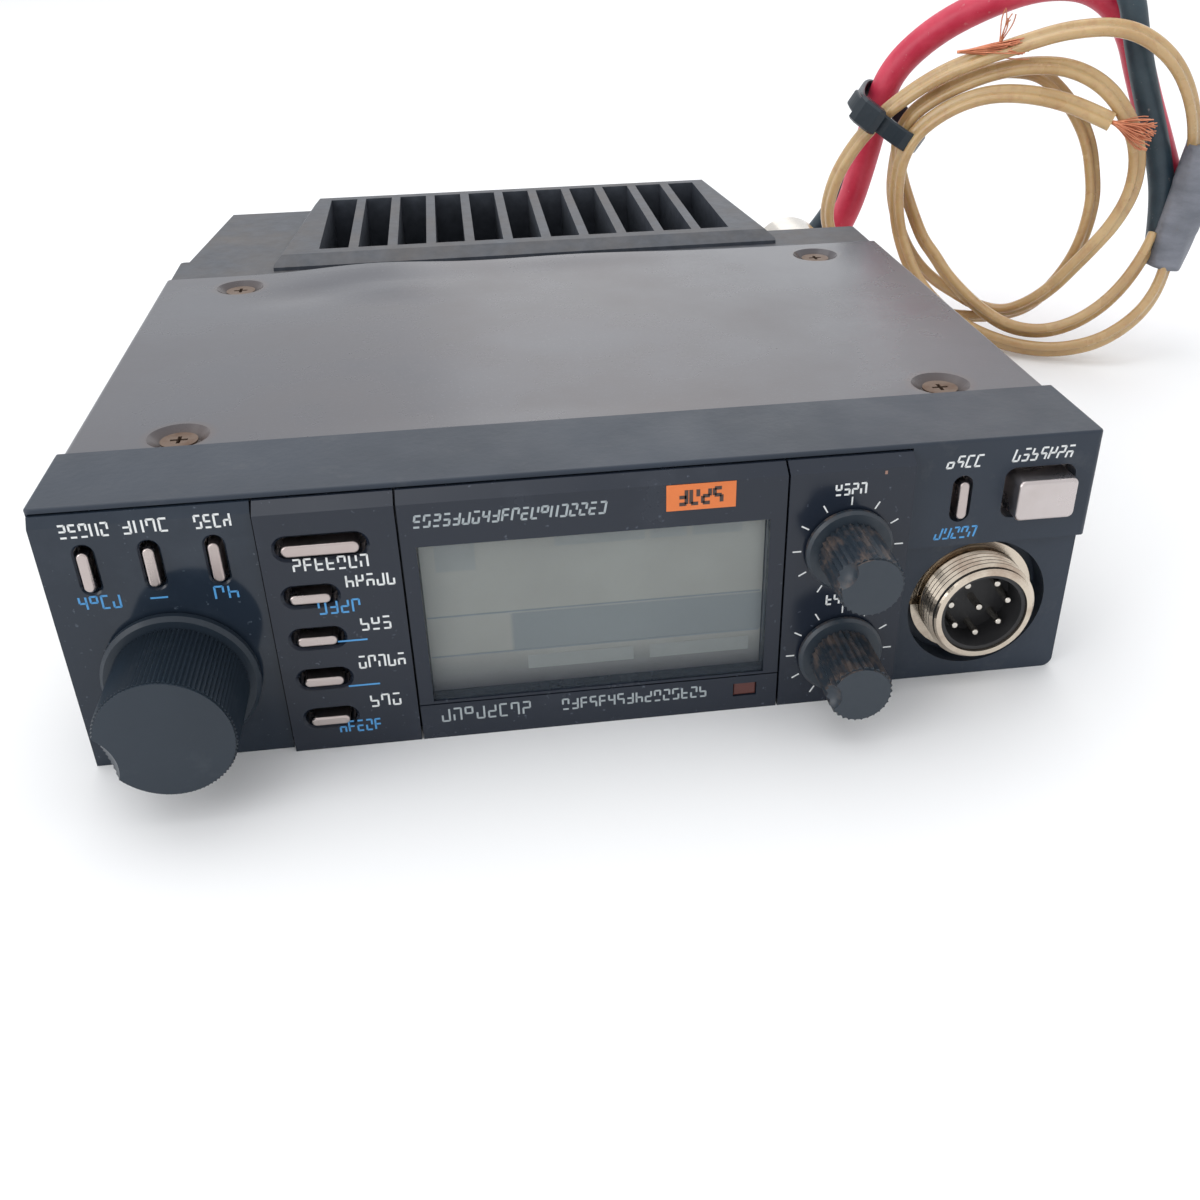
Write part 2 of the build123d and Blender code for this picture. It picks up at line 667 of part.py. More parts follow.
with BuildPart() as speaker_frame:
    with BuildSketch(Plane.XZ):
        with BuildLine():
            basket = [(24, 1.1), (28.5, 1.1), (28.5, 3.2), (25.2, 3.2), (12.2, 9.6), (12.2, 8.4), (24, 2.6)]
            Polyline(*basket, close=True)
        make_face()
    revolve(axis=Axis.Z)
speaker_shift = Location((0, back(speaker_at[1]), 0))
save(speaker_frame.part.moved(speaker_shift), "speaker_frame")

with BuildPart() as speaker_cone:
    with BuildSketch(Plane.XZ):
        with BuildLine():
            Polyline((0, 6.8), (10, 6.8), (23.6, 2.0), (23.6, 1.6), (9.8, 6.3), (0, 6.3), close=True)
        make_face()
    revolve(axis=Axis.Z)
save(speaker_cone.part.moved(speaker_shift), "speaker_cone")

with BuildPart() as speaker_magnet:
    with BuildSketch(Plane.XY.offset(9.6)):
        with Locations(speaker_at[:1] + (back(speaker_at[1]),)):
            Circle(15.5)
    extrude(amount=6.4)
    fillet(speaker_magnet.edges().filter_by(GeomType.CIRCLE), 0.6)
save(speaker_magnet.part, "speaker_magnet")

# ---------------------------------------------------------------- rear connectors
with BuildPart() as antenna_shell:
    rod(antenna_at, 8.9, (flange_rear, flange_rear + 2.2))
    rod(antenna_at, antenna_radius, (flange_rear, 128.5))
    rod(antenna_at, 7.9, (104, flange_rear))
    rod(antenna_at, 5.6, (120, 130), Mode.SUBTRACT)
    rod(antenna_at, 4.6, (103, 125), Mode.SUBTRACT)
save(antenna_shell.part, "antenna_shell")

with BuildPart() as antenna_core:
    rod(antenna_at, 4.55, (103, 120))
    rod(antenna_at, 4.2, (120, 127.5))
    rod(antenna_at, 1.95, (112, 128), Mode.SUBTRACT)
save(antenna_core.part, "antenna_core")

with BuildPart() as lead_gland:
    stadium(gland_at, gland_size[0], gland_size[1], (103, 113), Mode.ADD)
    stadium(gland_at, gland_size[0] + 1.4, gland_size[1] + 0.8, (flange_rear, 115.2), Mode.ADD)
    stadium(gland_at, gland_size[0] - 0.4, gland_size[1] - 0.4, (115.2, gland_face), Mode.ADD)
save(lead_gland.part, "lead_gland")


# ---------------------------------------------------------------- supply lead and coil
turn = radians(coil_turn)


def by_coil(across, behind, up):
    """Point given across the coil's plane, behind it and above the ground."""
    return Vector(
        coil_foot[0] + across * cos(turn) + behind * sin(turn),
        back(coil_foot[1] - across * sin(turn) + behind * cos(turn)),
        up,
    )


def bend_radii(points):
    """The largest even bend at each corner of a route."""
    radii = []
    for before, corner, after in zip(points, points[1:], points[2:]):
        half_turn = radians((corner - before).get_angle(after - corner)) / 2
        shorter = min((corner - before).length, (after - corner).length)
        radii.append(0.45 * shorter / tan(half_turn))
    return radii


def make_lead(name, points, radius):
    """Round lead along straight runs joined by arcs."""
    radii = bend_radii(points)
    with BuildPart() as lead:
        with BuildLine() as route:
            FilletPolyline(*points, radius=radii)
        start = Plane(origin=points[0], z_dir=points[1] - points[0])
        with BuildSketch(start):
            Circle(radius)
        sweep(path=route.wires()[0])
    runs = [round((b - a).length, 1) for a, b in zip(points, points[1:])]
    path_length = sum(edge.length for edge in route.edges())
    expected = pi * radius**2 * path_length
    print(name, "radii", [round(value, 1) for value in radii], "runs", runs)
    print(name, "length", round(path_length, 1), "volume ratio", round(lead.part.volume / expected, 4))
    save(lead.part, name)


tape_low = (11.9, 20.8)  # across and up, at the lower end of the tape
tape_high = (16.8, 47.3)
tape_behind = 9.4  # how far the tape's middle lies behind the coil's plane
tape_section = (15.6, 10.8)
tape_length = hypot(tape_high[0] - tape_low[0], tape_high[1] - tape_low[1])

# The red lead rises in front of the black one and comes down behind it, into the tape.
red_route = [
    Vector(gland_at[0], back(gland_face), red_z),
    Vector(gland_at[0], back(130.0), red_z),
    by_coil(-72.3, -22.0, 9.8),
    by_coil(-75.8, -10.0, 4.2),
    by_coil(-75.5, 2.0, 6.9),
    by_coil(-70.5, 10.0, 14.6),
    by_coil(-64.5, 11.0, 25.6),
    by_coil(-61.2, 9.4, 37.8),
    by_coil(-58.9, 9.2, 49.3),
    by_coil(-56.4, 9.2, 60.0),
    by_coil(-47.5, 9.2, 69.0),
    by_coil(-36.5, 9.4, 75.2),
    by_coil(-24.5, 10.2, 79.6),
    by_coil(-13.2, 15.2, 78.7),
    by_coil(-4.8, 17.8, 71.4),
    by_coil(0.2, 17.2, 58.6),
    by_coil(6.2, 16.0, 46.0),
    by_coil(11.2, 14.8, 35.0),
    by_coil(13.4, 13.7, 26.5),
]
black_route = [
    Vector(gland_at[0], back(gland_face), black_z),
    Vector(gland_at[0], back(130.0), black_z),
    by_coil(-77.8, -23.3, 3.9),
    by_coil(-83.8, -11.5, 3.4),
    by_coil(-85.8, 1.5, 3.2),
    by_coil(-83.0, 13.5, 6.0),
    by_coil(-76.0, 19.5, 15.0),
    by_coil(-68.5, 18.8, 26.0),
    by_coil(-63.5, 17.7, 38.5),
    by_coil(-59.8, 17.5, 51.0),
    by_coil(-56.5, 17.2, 60.5),
    by_coil(-47.3, 16.8, 69.2),
    by_coil(-38.0, 16.6, 75.0),
    by_coil(-30.5, 16.2, 81.2),
    by_coil(-18.5, 13.5, 87.6),
    by_coil(-6.0, 9.9, 80.4),
    by_coil(-2.2, 9.2, 67.5),
    by_coil(2.2, 9.0, 56.0),
    by_coil(6.6, 9.0, 45.0),
    by_coil(9.6, 8.4, 34.8),
    by_coil(10.2, 7.9, 26.0),
]


def tape_plane(along):
    """Plane across the tape, `along` it from its lower end."""
    share = along / tape_length
    across = tape_low[0] + share * (tape_high[0] - tape_low[0])
    up = tape_low[1] + share * (tape_high[1] - tape_low[1])
    rise = by_coil(tape_high[0], 0, tape_high[1]) - by_coil(tape_low[0], 0, tape_low[1])
    behind = by_coil(0, 1, 0) - by_coil(0, 0, 0)
    return Plane(origin=by_coil(across, tape_behind, up), x_dir=behind, z_dir=rise)


make_lead("supply_lead_red", red_route, red_radius)
make_lead("supply_lead_black", black_route, black_radius)

with BuildPart() as joint_tape:
    with BuildSketch(tape_plane(0)):
        RectangleRounded(tape_section[0], tape_section[1], 4.0)
    extrude(amount=tape_length)
save(joint_tape.part, "joint_tape")

coil_across = (cos(turn), -sin(turn), 0)
coil_plane = Plane(origin=by_coil(0, coil_half, 0), x_dir=coil_across, z_dir=(-sin(turn), -cos(turn), 0))
radial = (cos(radians(tie_angle)), sin(radians(tie_angle)))
opening = 1 / hypot(radial[0] / coil_inner[2], radial[1] / coil_inner[3])
neck_at = (coil_inner[0] + radial[0] * opening, coil_inner[1] + radial[1] * opening)
with BuildPart() as wire_coil:
    with BuildSketch(coil_plane):
        with Locations(coil_outer[:2]):
            Ellipse(coil_outer[2], coil_outer[3])
        with Locations(coil_inner[:2]):
            Ellipse(coil_inner[2], coil_inner[3], mode=Mode.SUBTRACT)
        # the bundle is drawn in where the tie holds it
        notch = neck_deep + 12
        with Locations(Location((neck_at[0] + radial[0] * notch, neck_at[1] + radial[1] * notch), tie_angle)):
            Rectangle(24, 9, mode=Mode.SUBTRACT)
    extrude(amount=2 * coil_half)
    # the outer turns run into the tape and out of it
    with BuildSketch(tape_plane(-0.1)) as taped_length:
        with Locations((0, -12)):
            Rectangle(40, tape_section[1] + 24.8)
    extrude(taped_length.sketch, amount=tape_length + 0.2, mode=Mode.SUBTRACT)
save(wire_coil.part, "wire_coil")

tie_reach = 18.7  # from the inside of the neck to the outside of the red lead
tie_middle = (tie_reach - 0.4) / 2
tie_plane = Plane(
    origin=by_coil(neck_at[0] + radial[0] * tie_middle, 3.65, neck_at[1] + radial[1] * tie_middle),
    x_dir=by_coil(radial[0], 0, radial[1]) - by_coil(0, 0, 0),
    z_dir=by_coil(-radial[1], 0, radial[0]) - by_coil(0, 0, 0),
)
with BuildPart() as cable_tie:
    with BuildSketch(tie_plane.offset(-2.25)):
        RectangleRounded(tie_reach + 2.6, 20.3, 2.2)
        RectangleRounded(tie_reach + 0.4, 18.1, 1.1, mode=Mode.SUBTRACT)
    extrude(amount=4.5)
save(cable_tie.part, "cable_tie")
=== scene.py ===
"""Looks of the mobile transceiver: materials, printed marks, leads, the tied coil of wire, and light."""
import random
from math import cos, exp, hypot, pi, radians, sin

import bmesh
import bpy
from mathutils import Matrix, Quaternion, Vector


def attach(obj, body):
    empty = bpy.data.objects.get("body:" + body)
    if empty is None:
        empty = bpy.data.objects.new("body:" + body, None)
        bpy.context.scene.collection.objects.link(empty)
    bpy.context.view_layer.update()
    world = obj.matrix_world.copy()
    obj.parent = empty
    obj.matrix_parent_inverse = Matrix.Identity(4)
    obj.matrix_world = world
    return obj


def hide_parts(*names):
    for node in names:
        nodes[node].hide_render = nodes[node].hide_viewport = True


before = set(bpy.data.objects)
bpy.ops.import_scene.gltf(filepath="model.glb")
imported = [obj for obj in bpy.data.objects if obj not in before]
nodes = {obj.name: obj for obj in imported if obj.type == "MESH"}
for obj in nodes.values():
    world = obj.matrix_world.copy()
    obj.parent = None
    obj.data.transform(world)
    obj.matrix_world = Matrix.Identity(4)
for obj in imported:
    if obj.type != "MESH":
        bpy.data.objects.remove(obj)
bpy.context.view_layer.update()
scene = bpy.context.scene

MM = 0.001
LIP = -0.0683  # Y of the housing's front lip
COVER_SCREW_X = 54.9  # the cover's screws, either side of the middle
COVER_SCREW_DEPTHS = (21.5, 90.2)


def at(x, depth, z):
    """Point from millimetres: across, behind the front lip, up."""
    return Vector((x * MM, LIP + depth * MM, z * MM))


# ---------------------------------------------------------------- camera
turn = Vector((0.544, -0.127, -0.054))  # rotation away from looking level along Y
level = Matrix(((1, 0, 0), (0, 0, -1), (0, 1, 0)))
axes = Quaternion(turn.normalized(), turn.length).to_matrix() @ level
place = Matrix((axes[0], -axes[1], -axes[2])).transposed().to_4x4()
place.translation = at(-14.44, -142.97, 107.022)
lens = bpy.data.cameras.new("camera")
lens.sensor_width = 36
lens.lens = 36.95
lens.shift_x = -0.0152
lens.shift_y = -0.0032
lens.clip_start = 0.01
camera = bpy.data.objects.new("camera", lens)
camera.matrix_world = place
scene.collection.objects.link(camera)
scene.camera = camera


# ---------------------------------------------------------------- node helpers
class Recipe:
    """A node tree with short calls for the nodes that these materials use."""

    def __init__(self, name):
        self.material = bpy.data.materials.new(name)
        self.material.use_nodes = True
        self.tree = self.material.node_tree
        self.tree.nodes.clear()
        self.out = self.tree.nodes.new("ShaderNodeOutputMaterial")
        self.shader = self.tree.nodes.new("ShaderNodeBsdfPrincipled")
        self.tree.links.new(self.shader.outputs[0], self.out.inputs[0])
        self.place = self.tree.nodes.new("ShaderNodeTexCoord").outputs["Object"]

    def link(self, source, target):
        self.tree.links.new(source, target)

    def stretched(self, scale):
        node = self.tree.nodes.new("ShaderNodeMapping")
        node.inputs["Scale"].default_value = scale
        self.link(self.place, node.inputs["Vector"])
        return node.outputs[0]

    def noise(self, scale, detail=4.0, rough=0.55, stretch=None):
        node = self.tree.nodes.new("ShaderNodeTexNoise")
        node.inputs["Scale"].default_value = scale
        node.inputs["Detail"].default_value = detail
        node.inputs["Roughness"].default_value = rough
        self.link(self.stretched(stretch) if stretch else self.place, node.inputs["Vector"])
        return node.outputs["Fac"]

    def ramp(self, source, low, high, low_value=0.0, high_value=1.0):
        node = self.tree.nodes.new("ShaderNodeMapRange")
        node.inputs["From Min"].default_value = low
        node.inputs["From Max"].default_value = high
        node.inputs["To Min"].default_value = low_value
        node.inputs["To Max"].default_value = high_value
        self.link(source, node.inputs["Value"])
        return node.outputs[0]

    def math(self, kind, first, second=0.0):
        node = self.tree.nodes.new("ShaderNodeMath")
        node.operation = kind
        for socket, value in zip(node.inputs, (first, second)):
            if isinstance(value, (int, float)):
                socket.default_value = value
            else:
                self.link(value, socket)
        return node.outputs[0]

    def mix(self, factor, first, second):
        node = self.tree.nodes.new("ShaderNodeMix")
        node.data_type = "RGBA"
        sockets = (node.inputs[0], node.inputs[6], node.inputs[7])  # factor, first and second colour
        for socket, value in zip(sockets, (factor, first, second)):
            if isinstance(value, (int, float)):
                socket.default_value = value
            elif isinstance(value, tuple):
                socket.default_value = (*value, 1.0)
            else:
                self.link(value, socket)
        return node.outputs[2]

    def bump(self, height, distance, before=None):
        node = self.tree.nodes.new("ShaderNodeBump")
        node.inputs["Distance"].default_value = distance
        self.link(height, node.inputs["Height"])
        if before:
            self.link(before, node.inputs["Normal"])
        return node.outputs[0]

    def coordinate(self, axis):
        """Place along X, Y or Z, in metres."""
        node = self.tree.nodes.new("ShaderNodeSeparateXYZ")
        self.link(self.place, node.inputs[0])
        return node.outputs[axis]

    def set(self, **values):
        """Give the shader's sockets a number, a colour or a link; _ stands for a space in their names."""
        for name, value in values.items():
            socket = self.shader.inputs[name.replace("_", " ")]
            if isinstance(value, (int, float)):
                socket.default_value = value
            elif isinstance(value, tuple):
                socket.default_value = (*value, 1.0) if socket.type == "RGBA" else value
            else:
                self.link(value, socket)
        return self


def plastic(name, colour, roughness, grain=900.0, depth=0.00003, dust=(0.42, 0.40, 0.36), dusty=0.15):
    """Moulded plastic: fine grain, faint mottling and dust, and uneven gloss."""
    r = Recipe(name)
    broad = r.noise(35.0, 6.0)
    fine = r.noise(grain, 2.0)
    darker = tuple(value * 0.78 for value in colour)
    tone = r.mix(r.ramp(broad, 0.35, 0.65), darker, colour)
    tone = r.mix(r.ramp(r.noise(160.0, 8.0, 0.7), 0.58, 0.78, 0.0, dusty), tone, dust)
    gloss = r.ramp(r.noise(90.0, 5.0), 0.3, 0.7, roughness * 0.85, roughness * 1.15)
    r.set(Base_Color=tone, Roughness=gloss, Normal=r.bump(fine, depth), Specular_IOR_Level=0.38)
    return r.material


def metal(
    name, colour, roughness, brushed=(1, 1, 1), tarnish=(0.30, 0.24, 0.18), tarnished=0.3, metallic=1.0
):
    """Bare or plated metal: brush lines, smudges and a little tarnish."""
    r = Recipe(name)
    lines = r.noise(900.0, 3.0, 0.6, brushed)
    cloud = r.noise(120.0, 8.0, 0.65)
    tone = r.mix(r.ramp(cloud, 0.5, 0.75, 0.0, tarnished), colour, tarnish)
    r.set(Base_Color=tone, Metallic=metallic)
    r.set(Roughness=r.ramp(cloud, 0.3, 0.75, roughness * 0.8, roughness * 1.5))
    r.set(Normal=r.bump(lines, 0.00001))
    return r.material


def handled_knob():
    """Ribbed knob: brown grime on its side, which doesn't face along Y, and a clean worn face."""
    r = Recipe("handled_knob")
    normal = r.tree.nodes.new("ShaderNodeNewGeometry")
    parts = r.tree.nodes.new("ShaderNodeSeparateXYZ")
    r.link(normal.outputs["Normal"], parts.inputs[0])
    side = r.ramp(r.math("ABSOLUTE", parts.outputs[1]), 0.3, 0.8, 1.0, 0.0)
    grime = r.ramp(r.noise(420.0, 8.0, 0.75, (1, 0.6, 1)), 0.47, 0.66, 0.0, 0.7)
    tone = r.mix(r.noise(40.0, 5.0), (0.016, 0.025, 0.036), (0.024, 0.034, 0.046))
    tone = r.mix(r.math("MULTIPLY", side, grime), tone, (0.15, 0.105, 0.080))
    r.set(Base_Color=tone, Roughness=r.ramp(grime, 0.0, 0.8, 0.36, 0.62))
    r.set(Normal=r.bump(r.noise(700.0, 3.0), 0.00002))
    return r.material


# ---------------------------------------------------------------- materials of the radio
housing = plastic("housing", (0.021, 0.031, 0.048), 0.42, dusty=0.06)
dial_black = plastic(
    "dial_black", (0.017, 0.027, 0.040), 0.36, grain=500.0, dusty=0.10, dust=(0.16, 0.18, 0.20)
)
black_plastic = plastic("black_plastic", (0.012, 0.012, 0.013), 0.5, dusty=0.1)
socket_black = plastic("socket_black", (0.030, 0.030, 0.032), 0.5, dusty=0.35)
cream = plastic("socket_cream", (0.70, 0.66, 0.52), 0.35, dusty=0.2)
board = plastic("board", (0.03, 0.14, 0.06), 0.35, grain=300.0, dusty=0.2)
rubber = plastic("gland_rubber", (0.015, 0.015, 0.016), 0.65, grain=250.0, dusty=0.3)
label_orange = plastic(
    "label_orange", (0.72, 0.19, 0.05), 0.45, grain=1500.0, dusty=0.25, dust=(0.85, 0.70, 0.50)
)
cone_paper = plastic("cone_paper", (0.03, 0.03, 0.03), 0.85, grain=200.0, depth=0.0002)
ferrite = plastic("ferrite", (0.05, 0.05, 0.055), 0.55, grain=150.0, depth=0.0001)
nylon = plastic("nylon", (0.020, 0.030, 0.040), 0.35, dusty=0.05)
key_metal = metal("key_metal", (0.48, 0.42, 0.40), 0.27, (1, 1, 14), (0.42, 0.30, 0.28), 0.35)
cap_metal = metal("cap_metal", (0.55, 0.50, 0.49), 0.26, (10, 1, 1), tarnished=0.15)
plated = metal("plated", (0.66, 0.62, 0.56), 0.17, tarnished=0.2)
worn_plating = metal(
    "worn_plating", (0.64, 0.56, 0.46), 0.2, tarnish=(0.24, 0.13, 0.08), tarnished=0.75
)
plain_steel = metal("plain_steel", (0.56, 0.55, 0.53), 0.32, tarnished=0.35)
rusty_steel = metal(
    "rusty_steel", (0.17, 0.12, 0.09), 0.5, tarnish=(0.10, 0.045, 0.022), tarnished=0.95, metallic=0.7
)
tin = metal("tin", (0.72, 0.72, 0.70), 0.3, tarnished=0.2)


def glossy_panel(name, colour, roughness, ghost):
    """Dark acrylic plate: polished, faintly smudged, with fine specks of dust."""
    r = Recipe(name)
    smudge = r.noise(45.0, 6.0, 0.6)
    specks = r.noise(1300.0, 2.0, 0.5)
    tone = r.mix(r.ramp(specks, 0.70, 0.78, 0.0, 0.5), colour, ghost)
    tone = r.mix(r.ramp(smudge, 0.55, 0.75, 0.0, 0.12), tone, ghost)
    r.set(Base_Color=tone, IOR=1.42)
    r.set(Roughness=r.ramp(smudge, 0.35, 0.72, roughness, roughness * 2.4))
    r.set(Normal=r.bump(r.noise(22.0, 2.0), 0.00004))
    return r.material


left_gloss = glossy_panel("left_gloss", (0.015, 0.023, 0.036), 0.05, (0.12, 0.15, 0.19))
centre_gloss = glossy_panel("centre_gloss", (0.013, 0.018, 0.029), 0.14, (0.11, 0.13, 0.17))


def display_window():
    """Clear cover lens of the display, thin and slightly dusty."""
    r = Recipe("display_window")
    clear = r.tree.nodes.new("ShaderNodeBsdfTransparent")
    clear.inputs[0].default_value = (0.90, 0.93, 0.95, 1)
    smudge = r.ramp(r.noise(60.0, 5.0), 0.3, 0.7, 0.06, 0.16)
    r.set(Base_Color=(0.10, 0.12, 0.14), Roughness=smudge, IOR=1.49)
    blend = r.tree.nodes.new("ShaderNodeMixShader")
    blend.inputs[0].default_value = 0.16
    r.link(clear.outputs[0], blend.inputs[1])
    r.link(r.shader.outputs[0], blend.inputs[2])
    r.link(blend.outputs[0], r.out.inputs[0])
    return r.material


def liquid_crystal():
    """Unlit display glass: grey-green, darker towards its lower edge, with a bluish block at lower right."""
    r = Recipe("liquid_crystal")
    up = r.coordinate(2)
    across = r.coordinate(0)
    warm = r.ramp(up, 0.0065, 0.0125, 1.0, 0.0)
    cloud = r.noise(70.0, 4.0)
    tone = r.mix(r.ramp(cloud, 0.35, 0.65), (0.55, 0.49, 0.41), (0.61, 0.55, 0.46))
    tone = r.mix(r.math("MULTIPLY", warm, 0.88), tone, (0.10, 0.085, 0.095))
    block = r.math("MULTIPLY", r.ramp(up, 0.0120, 0.0122), r.ramp(up, 0.0182, 0.0180))
    block = r.math("MULTIPLY", block, r.ramp(across, -0.0116, -0.0110))
    tone = r.mix(r.math("MULTIPLY", block, 0.5), tone, (0.20, 0.24, 0.27))
    r.set(Base_Color=tone, Roughness=0.22, Normal=r.bump(r.noise(2500.0, 2.0), 0.00001))
    return r.material


def cover_paint(name, colour, dull):
    """Painted sheet steel: speckle, dulled patches, scratches, rust round the screws, shallow waves, and
    painted shade darkening it towards its sides.
    """
    r = Recipe(name)
    speckle = r.noise(2200.0, 3.0, 0.7)
    cloud = r.noise(24.0, 7.0, 0.62)
    scratch = r.noise(260.0, 8.0, 0.75, (1.0, 0.06, 1.0))
    tone = r.mix(r.ramp(cloud, 0.38, 0.64), colour, dull)
    tone = r.mix(r.ramp(speckle, 0.60, 0.72, 0.0, 0.5), tone, tuple(min(1, v * 2.1) for v in colour))
    tone = r.mix(r.ramp(scratch, 0.70, 0.76, 0.0, 0.2), tone, (0.26, 0.25, 0.24))
    sideways = r.math("SUBTRACT", r.math("ABSOLUTE", r.coordinate(0)), COVER_SCREW_X * MM)
    for depth in COVER_SCREW_DEPTHS:
        along = r.math("SUBTRACT", r.coordinate(1), LIP + depth * MM)
        away = r.math("ADD", r.math("MULTIPLY", sideways, sideways), r.math("MULTIPLY", along, along))
        ring = r.ramp(r.math("SQRT", away), 0.0032, 0.0056, 0.9, 0.0)
        ring = r.math("MULTIPLY", ring, r.ramp(cloud, 0.3, 0.6, 0.5, 1.0))
        tone = r.mix(ring, tone, (0.13, 0.075, 0.045))
    # Painted shade: the cover's colour darkens from its middle towards its sides.
    painted_shade_towards_sides = r.ramp(r.math("ABSOLUTE", r.coordinate(0)), 0.015, 0.062, 0.0, 0.55)
    tone = r.mix(painted_shade_towards_sides, tone, (0.060, 0.066, 0.082))
    r.set(Base_Color=tone, Roughness=r.ramp(cloud, 0.35, 0.65, 0.20, 0.36))
    fine = r.bump(speckle, 0.00001)
    r.set(Normal=r.bump(r.noise(14.0, 2.0, 0.4), 0.0006, fine))
    return r.material


top_paint = cover_paint("top_paint", (0.070, 0.070, 0.082), (0.098, 0.090, 0.095))
bottom_paint = cover_paint("bottom_paint", (0.055, 0.056, 0.062), (0.075, 0.070, 0.070))


def casting():
    """Black-painted die casting: pebbled skin and dusty ledges."""
    r = Recipe("casting")
    pebble = r.noise(420.0, 4.0, 0.6)
    dirt = r.noise(60.0, 8.0, 0.7)
    normal = r.tree.nodes.new("ShaderNodeNewGeometry")
    facing_up = r.tree.nodes.new("ShaderNodeSeparateXYZ")
    r.link(normal.outputs["Normal"], facing_up.inputs[0])
    ledge = r.ramp(facing_up.outputs[2], 0.5, 1.0, 0.0, 0.35)
    tone = r.mix(r.ramp(pebble, 0.35, 0.7), (0.030, 0.036, 0.048), (0.052, 0.060, 0.076))
    tone = r.mix(r.math("MULTIPLY", ledge, r.ramp(dirt, 0.4, 0.7)), tone, (0.20, 0.17, 0.14))
    r.set(Base_Color=tone, Roughness=r.ramp(dirt, 0.3, 0.7, 0.42, 0.65), Normal=r.bump(pebble, 0.00008))
    return r.material


finish = {
    "housing_upper": housing,
    "housing_lower": housing,
    "left_panel": left_gloss,
    "key_panel": centre_gloss,
    "display_surround": centre_gloss,
    "name_strip": centre_gloss,
    "control_panel": centre_gloss,
    "orange_label": label_orange,
    "lamp_lens": plastic("lamp", (0.10, 0.035, 0.03), 0.15),
    "display_lens": display_window(),
    "display_glass": liquid_crystal(),
    "display_frame": black_plastic,
    "front_board": board,
    "main_board": board,
    "key_switches": black_plastic,
    "power_button": cap_metal,
    "socket_shell": plated,
    "socket_insert": socket_black,
    "socket_pins": plated,
    "socket_nut": worn_plating,
    "main_dial": dial_black,
    "volume_knob": handled_knob(),
    "squelch_knob": handled_knob(),
    "heatsink": casting(),
    "top_cover": top_paint,
    "bottom_cover": bottom_paint,
    "top_screws": rusty_steel,
    "bottom_screws": rusty_steel,
    "housing_screws": plain_steel,
    "casting_screws": plain_steel,
    "chassis": metal("zinc", (0.52, 0.51, 0.47), 0.38, tarnished=0.4),
    "power_module": tin,
    "shield_can": tin,
    "capacitors": plastic("capacitor", (0.02, 0.03, 0.10), 0.35),
    "speaker_frame": plain_steel,
    "speaker_cone": cone_paper,
    "speaker_magnet": ferrite,
    "antenna_shell": plated,
    "antenna_core": cream,
    "lead_gland": rubber,
    "cable_tie": nylon,
}
for name, node in nodes.items():
    material = finish.get(name)
    if material is None:
        material = key_metal if name.endswith("_key") else plain_steel
    for slot in node.material_slots:
        slot.material = material


# ---------------------------------------------------------------- leads and the coil
COIL_FOOT = (136.35, 126.56)  # a point of the coil's upright plane: across, behind the front lip
COIL_TURN = radians(29.3)  # how far that plane is turned from the radio's front


def by_coil(across, behind, up):
    """Point across the coil's plane, behind it and above the ground, in millimetres."""
    x = COIL_FOOT[0] + across * cos(COIL_TURN) + behind * sin(COIL_TURN)
    depth = COIL_FOOT[1] - across * sin(COIL_TURN) + behind * cos(COIL_TURN)
    return at(x, depth, up)


def spline(name, points, radius, material):
    """Smooth curve with these control points."""
    data = bpy.data.curves.new(name, "CURVE")
    data.dimensions = "3D"
    data.resolution_u = 10
    line = data.splines.new("NURBS")
    line.points.add(len(points) - 1)
    for control, point in zip(line.points, points):
        control.co = (*point, 1.0)
    line.use_endpoint_u = True
    line.order_u = 3
    data.bevel_depth = radius
    data.bevel_resolution = 5
    data.use_fill_caps = True
    data.materials.append(material)
    piece = bpy.data.objects.new(name, data)
    scene.collection.objects.link(piece)
    return piece


def sleeve(name, colour, light):
    """Soft vinyl sleeve: slightly waxy, rubbed lighter in streaks."""
    r = Recipe(name)
    streak = r.noise(150.0, 6.0, 0.6)
    tone = r.mix(r.ramp(streak, 0.40, 0.70), colour, light)
    tone = r.mix(r.ramp(r.noise(700.0, 3.0), 0.66, 0.76, 0.0, 0.3), tone, (0.55, 0.45, 0.42))
    r.set(Base_Color=tone, Roughness=r.ramp(streak, 0.3, 0.7, 0.35, 0.5))
    r.set(Normal=r.bump(r.noise(240.0, 4.0), 0.0002))
    r.set(Subsurface_Weight=0.08, Subsurface_Radius=(0.002, 0.001, 0.001), Subsurface_Scale=0.5)
    return r.material


red_sleeve = sleeve("red_sleeve", (0.52, 0.020, 0.060), (0.62, 0.050, 0.095))
black_sleeve = sleeve("black_sleeve", (0.014, 0.030, 0.045), (0.030, 0.055, 0.070))

GLAND_X = 60.5
red_points = [
    at(GLAND_X, 118.0, 13.6),
    at(GLAND_X, 130.0, 13.6),
    by_coil(-72.3, -22.0, 9.8),
    by_coil(-75.8, -10.0, 4.2),
    by_coil(-75.5, 2.0, 6.9),
    by_coil(-70.5, 10.0, 14.6),
    by_coil(-64.5, 11.0, 25.6),
    by_coil(-61.2, 9.4, 37.8),
    by_coil(-58.9, 9.2, 49.3),
    by_coil(-56.4, 9.2, 60.0),
    by_coil(-47.5, 9.2, 69.0),
    by_coil(-36.5, 9.4, 75.2),
    by_coil(-24.5, 10.2, 79.6),
    by_coil(-13.2, 15.2, 78.7),
    by_coil(-4.8, 17.8, 71.4),
    by_coil(0.2, 17.2, 58.6),
    by_coil(6.2, 16.0, 46.0),
    by_coil(11.2, 14.8, 35.0),
    by_coil(13.4, 13.7, 26.5),
]
